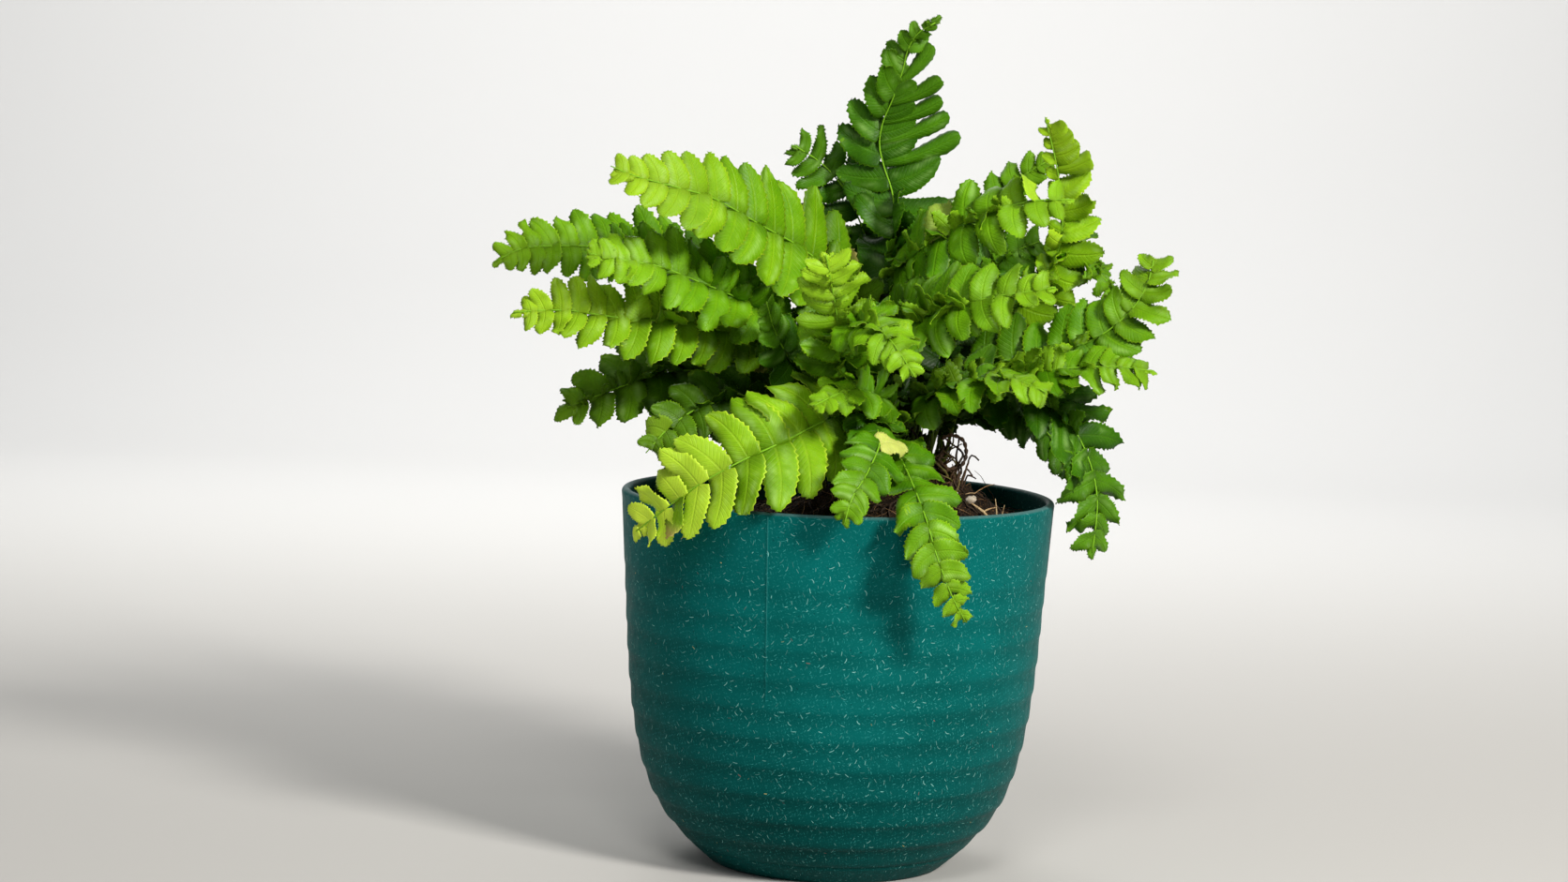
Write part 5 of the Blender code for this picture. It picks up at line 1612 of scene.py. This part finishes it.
def addInner(shapes, frond, draw):
    # leaflets down the stipe, smaller, and with painted shade that darkens them where the crown is dense
    pitch = frond.spec["pitch"]
    distance = frond.bare - 0.5 * pitch
    least = blade["innerLeast"]
    while distance > least:
        height = (distance - least) / (frond.bare - least)
        for hand in (1, -1):
            length = frond.leafLength(frond.bare) * (0.45 + 0.5 * height) * draw.uniform(0.85, 1.1)
            form = drawForm(draw, "inner", length)
            form["lean"] += frond.spec["lean"]
            form["droop"] += frond.spec["droop"]
            addLeaf(shapes, frond, distance, hand, form, draw, 0.75 - 0.3 * height, plainGrid)
        distance -= 0.85 * pitch


def addFillers(shapes, frond, draw, sparser):
    # leaflets at any turn round a stipe, and under the first part of a blade
    share = frond.spec.get("fillerReach", blade["fillerReach"])
    reach = frond.bare + (frond.path.length - frond.bare) * share
    distance = blade["innerLeast"] + 8
    while distance < reach:
        distance += blade["fillerStep"] * sparser * draw.uniform(0.7, 1.3)
        under = distance > frond.bare
        turn = math.radians(draw.uniform(-150, -30) if under else draw.uniform(-180, 180))
        length = frond.leafLength(max(distance, frond.bare)) * draw.uniform(0.5, 0.85)
        form = drawForm(draw, "filler", length)
        addLeaf(shapes, frond, distance, 1, form, draw, draw.uniform(0.1, 0.6), plainGrid, turn=turn)


def addTip(shapes, frond, draw):
    # the last leaflet, and a few small ones that half cover its base
    point, tangent, side, up = frond.path.frameAt(frond.stations[-1])
    length = max(growth["shortestTip"], growth["tipLength"] * frond.spec["leaflet"])
    length *= frond.spec.get("tipLeaf", 0.8)
    glow = frond.spec.get("tipGlow", blade["tipGlow"])
    for turn, size, setBack in blade["tipLeaves"]:
        form = drawForm(draw, "tip", length * size)
        angle = math.radians(turn + draw.uniform(-8, 8))
        out = tangent * math.cos(angle) + side * math.sin(angle)
        along = tangent * math.sin(angle) - side * math.cos(angle)
        points = leafPoints(point - tangent * setBack, out, along, up, 1, form, plainGrid)
        look = np.tile((draw.uniform(0.75, 1.0), 0.0, -glow), (len(points), 1))
        shapes.add(points, plainGrid.faces[1], 0, leafPlace=plainGrid.places, leafLook=look)


def addRib(shapes, frond):
    # round, and raised a little over the feet of the leaflets
    length, bare = frond.path.length, frond.bare
    low, middle, high = blade["ribRadius"]
    line, radii = [], []
    sides = blade["ribSides"]
    steps = max(8, round(length / blade["ribStep"]))
    for step in range(steps + 1):
        distance = length * step / steps
        point, _, _, up = frond.path.frameAt(distance)
        share = frond.share(distance)
        point = point + up * blade["ribProud"] * min(1.0, 4 * share)
        line.append(point)
        if distance < bare:
            radii.append(low + (middle - low) * distance / bare)
        else:
            radii.append(middle + (high - middle) * share)
    points, faces = tubeMesh(line, radii, sides)
    ages = np.repeat(np.linspace(0.0, 1.0, steps + 1), sides)
    place = np.column_stack([ages, np.zeros(len(ages)), np.zeros(len(ages))])
    shapes.add(points, faces, 1, leafPlace=place, leafLook=np.zeros((len(ages), 3)))


leafLook = {
    "patches": 0.24,
    "dry": (0.50, 0.34, 0.12),
    "faded": (0.60, 0.64, 0.15),
    # painted shade in the crown: its colour, and how much of it is laid on
    "paintedCrownShade": (0.003, 0.012, 0.001),
    "shade": 0.9,
    "tuck": (0.10, 1.0, 0.62),     # painted shade: where the half that lies under the next leaflet darkens, and how much
    # painted shade at a leaflet's foot, by the rib: from and up to where along it, and how much
    "foot": (0.0, 0.30, 0.45),
    # painted highlight on the swellings beside the midrib: its colour, and its most share
    "paintedSheen": (0.42, 0.66, 0.20),
    "paintedSheenShare": 0.30,
    "veins": (78.0, -16.0),    # turns of the side veins along a leaflet, and how they slant
    "veinPale": 0.05,
    "midribPale": 0.10,
    "marginRimLight": 0.5,
    "underPale": 0.35,
    "paintedShadeDark": 0.30,
    "roughness": (0.34, 0.14),
}

ribLook = {
    "old": (0.09, 0.08, 0.015),
    "green": (0.20, 0.44, 0.02),
    "cloud": (0.11, 0.24, 0.01),
    "greenFrom": (0.10, 0.45),
}


def leafFinish(name, tone):
    material, shader = newMaterial(f"{name} leaflet")
    tree = material.node_tree
    place = addNode(tree, "ShaderNodeSeparateXYZ", {"Vector": vectorAttribute(tree, "leafPlace")}).outputs
    look = addNode(tree, "ShaderNodeSeparateXYZ", {"Vector": vectorAttribute(tree, "leafLook")}).outputs
    cloud = useGroup(tree, mottle, {"Scale": 110.0, "Contrast": 1.8})
    across = calc(tree, "ABSOLUTE", place["Y"])
    share = calc(tree, "MULTIPLY_ADD", cloud["Cloud"], 0.5, calc(tree, "MULTIPLY", look["X"], 0.5))
    colour = blendColour(tree, share, tone["dark"], tone["light"])
    turns, slant = leafLook["veins"]
    veinTurn = calc(tree, "MULTIPLY_ADD", place["X"], turns, calc(tree, "MULTIPLY", across, slant))
    vein = between(tree, calc(tree, "SINE", veinTurn), 0.55, 1.0)
    midrib = between(tree, across, 0.03, 0.10, 1.0, 0.0)
    pale = calc(tree, "MAXIMUM", calc(tree, "MULTIPLY", midrib, leafLook["midribPale"]),
                calc(tree, "MULTIPLY", vein, leafLook["veinPale"]))
    colour = blendColour(tree, pale, colour, tone["edge"])
    patches = calc(tree, "MULTIPLY", cloud["Grain"], leafLook["patches"])
    colour = blendColour(tree, patches, colour, tone["dark"])
    # painted rim light: paler towards the margin
    margin = between(tree, across, 0.88, 1.0, 0.0, leafLook["marginRimLight"])
    colour = blendColour(tree, margin, colour, tone["edge"])
    under = calc(tree, "MULTIPLY", place["Z"], leafLook["underPale"])
    colour = blendColour(tree, under, colour, tone["edge"])
    # painted shade where a leaflet tucks under the next one and at its foot, not on its underside
    paintedShadeDark = tuple(part * leafLook["paintedShadeDark"] for part in tone["dark"])
    low, high, most = leafLook["tuck"]
    tuck = between(tree, place["Y"], low, high, 0.0, most)
    low, high, most = leafLook["foot"]
    foot = between(tree, place["X"], low, high, most, 0.0)
    hidden = calc(tree, "MULTIPLY", calc(tree, "MAXIMUM", tuck, foot),
                  calc(tree, "SUBTRACT", 1.0, place["Z"]))
    colour = blendColour(tree, hidden, colour, paintedShadeDark)
    # painted highlight on the swellings either side of the midrib
    paintedSheenMask = calc(tree, "MULTIPLY", between(tree, across, 0.10, 0.45),
                 between(tree, across, 0.45, 0.85, 1.0, 0.0))
    paintedSheenMask = calc(tree, "MULTIPLY", paintedSheenMask,
                 between(tree, cloud["Cloud"], 0.45, 0.9, 0.0, leafLook["paintedSheenShare"]))
    colour = blendColour(tree, paintedSheenMask, colour, leafLook["paintedSheen"])
    dryEdge = calc(tree, "MULTIPLY", calc(tree, "MAXIMUM", look["Y"], 0.0),
                   between(tree, place["X"], 0.5, 1.0))
    colour = blendColour(tree, dryEdge, colour, leafLook["dry"])
    faded = calc(tree, "MULTIPLY", calc(tree, "MAXIMUM", calc(tree, "MULTIPLY", look["Y"], -1.0), 0.0),
                 between(tree, cloud["Cloud"], 0.1, 0.9, 0.7, 1.0))
    colour = blendColour(tree, faded, colour, leafLook["faded"])
    # painted shade in the crown
    depth = calc(tree, "MULTIPLY", calc(tree, "MAXIMUM", look["Z"], 0.0), leafLook["shade"])
    colour = blendColour(tree, depth, colour, leafLook["paintedCrownShade"])
    young = calc(tree, "MAXIMUM", calc(tree, "MULTIPLY", look["Z"], -1.0), 0.0)
    colour = blendColour(tree, young, colour, tone["edge"])
    tree.links.new(colour, shader.inputs["Base Color"])
    least, more = leafLook["roughness"]
    rough = calc(tree, "MULTIPLY_ADD", cloud["Grain"], more, least)
    tree.links.new(rough, shader.inputs["Roughness"])
    shader.inputs["Specular IOR Level"].default_value = 0.12
    shader.inputs["Subsurface Weight"].default_value = 0.15
    shader.inputs["Subsurface Radius"].default_value = (0.6, 1.0, 0.15)
    shader.inputs["Subsurface Scale"].default_value = 0.0012
    lines = calc(tree, "SUBTRACT", calc(tree, "MULTIPLY", cloud["Grain"], 0.5),
                 calc(tree, "ADD", calc(tree, "MULTIPLY", vein, 0.5), midrib))
    bumpInto(tree, shader, lines, 0.00012)
    return material


def ribFinish():
    material, shader = newMaterial("rib")
    tree = material.node_tree
    place = addNode(tree, "ShaderNodeSeparateXYZ", {"Vector": vectorAttribute(tree, "leafPlace")}).outputs
    cloud = useGroup(tree, mottle, {"Scale": 300.0, "Contrast": 2.0})
    age = between(tree, place["X"], *ribLook["greenFrom"])
    colour = blendColour(tree, age, ribLook["old"], ribLook["green"])
    colour = blendColour(tree, calc(tree, "MULTIPLY", cloud["Cloud"], 0.3), colour, ribLook["cloud"])
    tree.links.new(colour, shader.inputs["Base Color"])
    shader.inputs["Roughness"].default_value = 0.5
    shader.inputs["Specular IOR Level"].default_value = 0.1
    bumpInto(tree, shader, cloud["Grain"], 0.0001)
    return material


# Old stipes

def addOldStipes():
    draw = random.Random(stub["seed"])
    noise.seed_set(stub["seed"])    # else noise_vector starts from the clock
    ground = soilHeight(*stub["place"])
    shapes = Gathered()
    x, y = stub["place"]
    body = [(x + dx, y + dy, ground + height) for dx, dy, height, _ in stub["body"]]
    shapes.add(*tubeMesh(body, [radius for *_, radius in stub["body"]], 14))
    height = growth["holeDepth"] + stub["rise"]
    for number in range(stub["wires"]):
        heading = math.tau * (number + draw.uniform(-0.3, 0.3)) / stub["wires"]
        start = Vector((math.cos(heading), math.sin(heading), 0)) * stub["radius"] * stub["ring"]
        base = Vector((x, y, ground - growth["holeDepth"])) + start + Vector((0, 0, height - stub["sunk"]))
        reach, rise = draw.uniform(*stub["reach"]), draw.uniform(*stub["height"])
        out = Vector((math.cos(heading), math.sin(heading), 0))
        bends = (*stub["bends"], [draw.uniform(*span) for span in stub["ends"]])
        route = [base] + [base + out * reach * far + Vector((0, 0, rise * up)) for far, up in bends]
        line = smoothPath(route, 1.2)
        wiggle = random.Random(number)
        offset = Vector([wiggle.uniform(0, 9) for _ in range(3)])
        fine, far = stub["wander"]
        line = [point + noise.noise_vector(point * fine + offset) * far * min(1.0, step / 4)
                for step, point in enumerate(line)]
        thick, less = stub["thin"]
        radii = [stub["half"] * (thick - less * step / len(line)) * wiggle.uniform(0.85, 1.25)
                 for step in range(len(line))]
        shapes.add(*tubeMesh(line, radii, 7))
    shapes.piece("old_stipes_wires", [fibreFinish("dead stipe", stub["dark"], stub["brown"], 0.75)],
                 "old_stipes", "old_stipes")


def addCurls():
    # thin dead stems that curl round each other over the stub
    draw = random.Random(stub["curlSeed"])
    shapes = Gathered()
    x, y = stub["place"]
    steps = stub["curlSteps"]
    thick, less = stub["thin"]
    for number in range(stub["curls"]):
        turn = draw.uniform(0, math.tau)
        spin = draw.choice((-1, 1)) * draw.uniform(*stub["curlTurns"])
        wide, rise = draw.uniform(*stub["curlWide"]), draw.uniform(*stub["curlRise"])
        footX, footY = (middle + draw.uniform(*span) for middle, span in zip((x, y), stub["curlFoot"]))
        base = Vector((footX, footY, soilTop(footX, footY) - 1.0))
        spread = [draw.uniform(*span) for span in stub["curlSpread"]]
        lean = Vector((*stub["curlLean"], 0)) + Vector((*spread, 0))
        line = []
        for step in range(steps + 1):
            share = step / steps
            angle = turn + spin * share
            swing = Vector((math.cos(angle), math.sin(angle), 0.35 * math.sin(spin * share)))
            lift = Vector((0, 0, rise * share ** 0.8))
            line.append(base + lean * share + swing * wide * min(1.0, 2 * share) + lift)
        radius = draw.uniform(*stub["curlRadius"])
        radii = [radius * (thick - less * step / steps) * draw.uniform(0.85, 1.2)
                 for step in range(steps + 1)]
        shapes.add(*tubeMesh(line, radii, 6), 1 if number % 3 == 2 else 0)
    line = smoothPath(stub["beaded"], 0.7)
    radius, bead, turn = stub["beads"]
    shapes.add(*tubeMesh(line, [radius + bead * math.sin(turn * step) for step in range(len(line))], 8))
    finishes = [fibreFinish("curled stem", stub["dark"], stub["brown"], 0.7),
                fibreFinish("young stem", stub["brown"], stub["olive"], 0.6)]
    shapes.piece("old_stipes_curls", finishes, "old_stipes")


# Making it

print("camera, floor and lights")
addCamera()
addFloor()
addLights()
print("pot")
addPot()
print("soil")
addSoil()
addFibres()
addPerlite()
addOldStipes()
addCurls()
print("fronds")
looks = {name: leafFinish(name, tone) for name, tone in tones.items()}
looks["rib"] = ribFinish()
backOnes = backFronds()
specs = {**fronds, **backOnes}
roots = placeRoots(specs)
for name, spec in specs.items():
    addFrond(name, spec, roots[name], looks)
triangles = {piece.name: sum(len(face.vertices) - 2 for face in piece.data.polygons)
             for piece in bpy.data.objects if piece.type == "MESH" and piece.name not in frame["nodes"]}
print(f"{sum(triangles.values())} triangles, the most in {max(triangles, key=triangles.get)}")
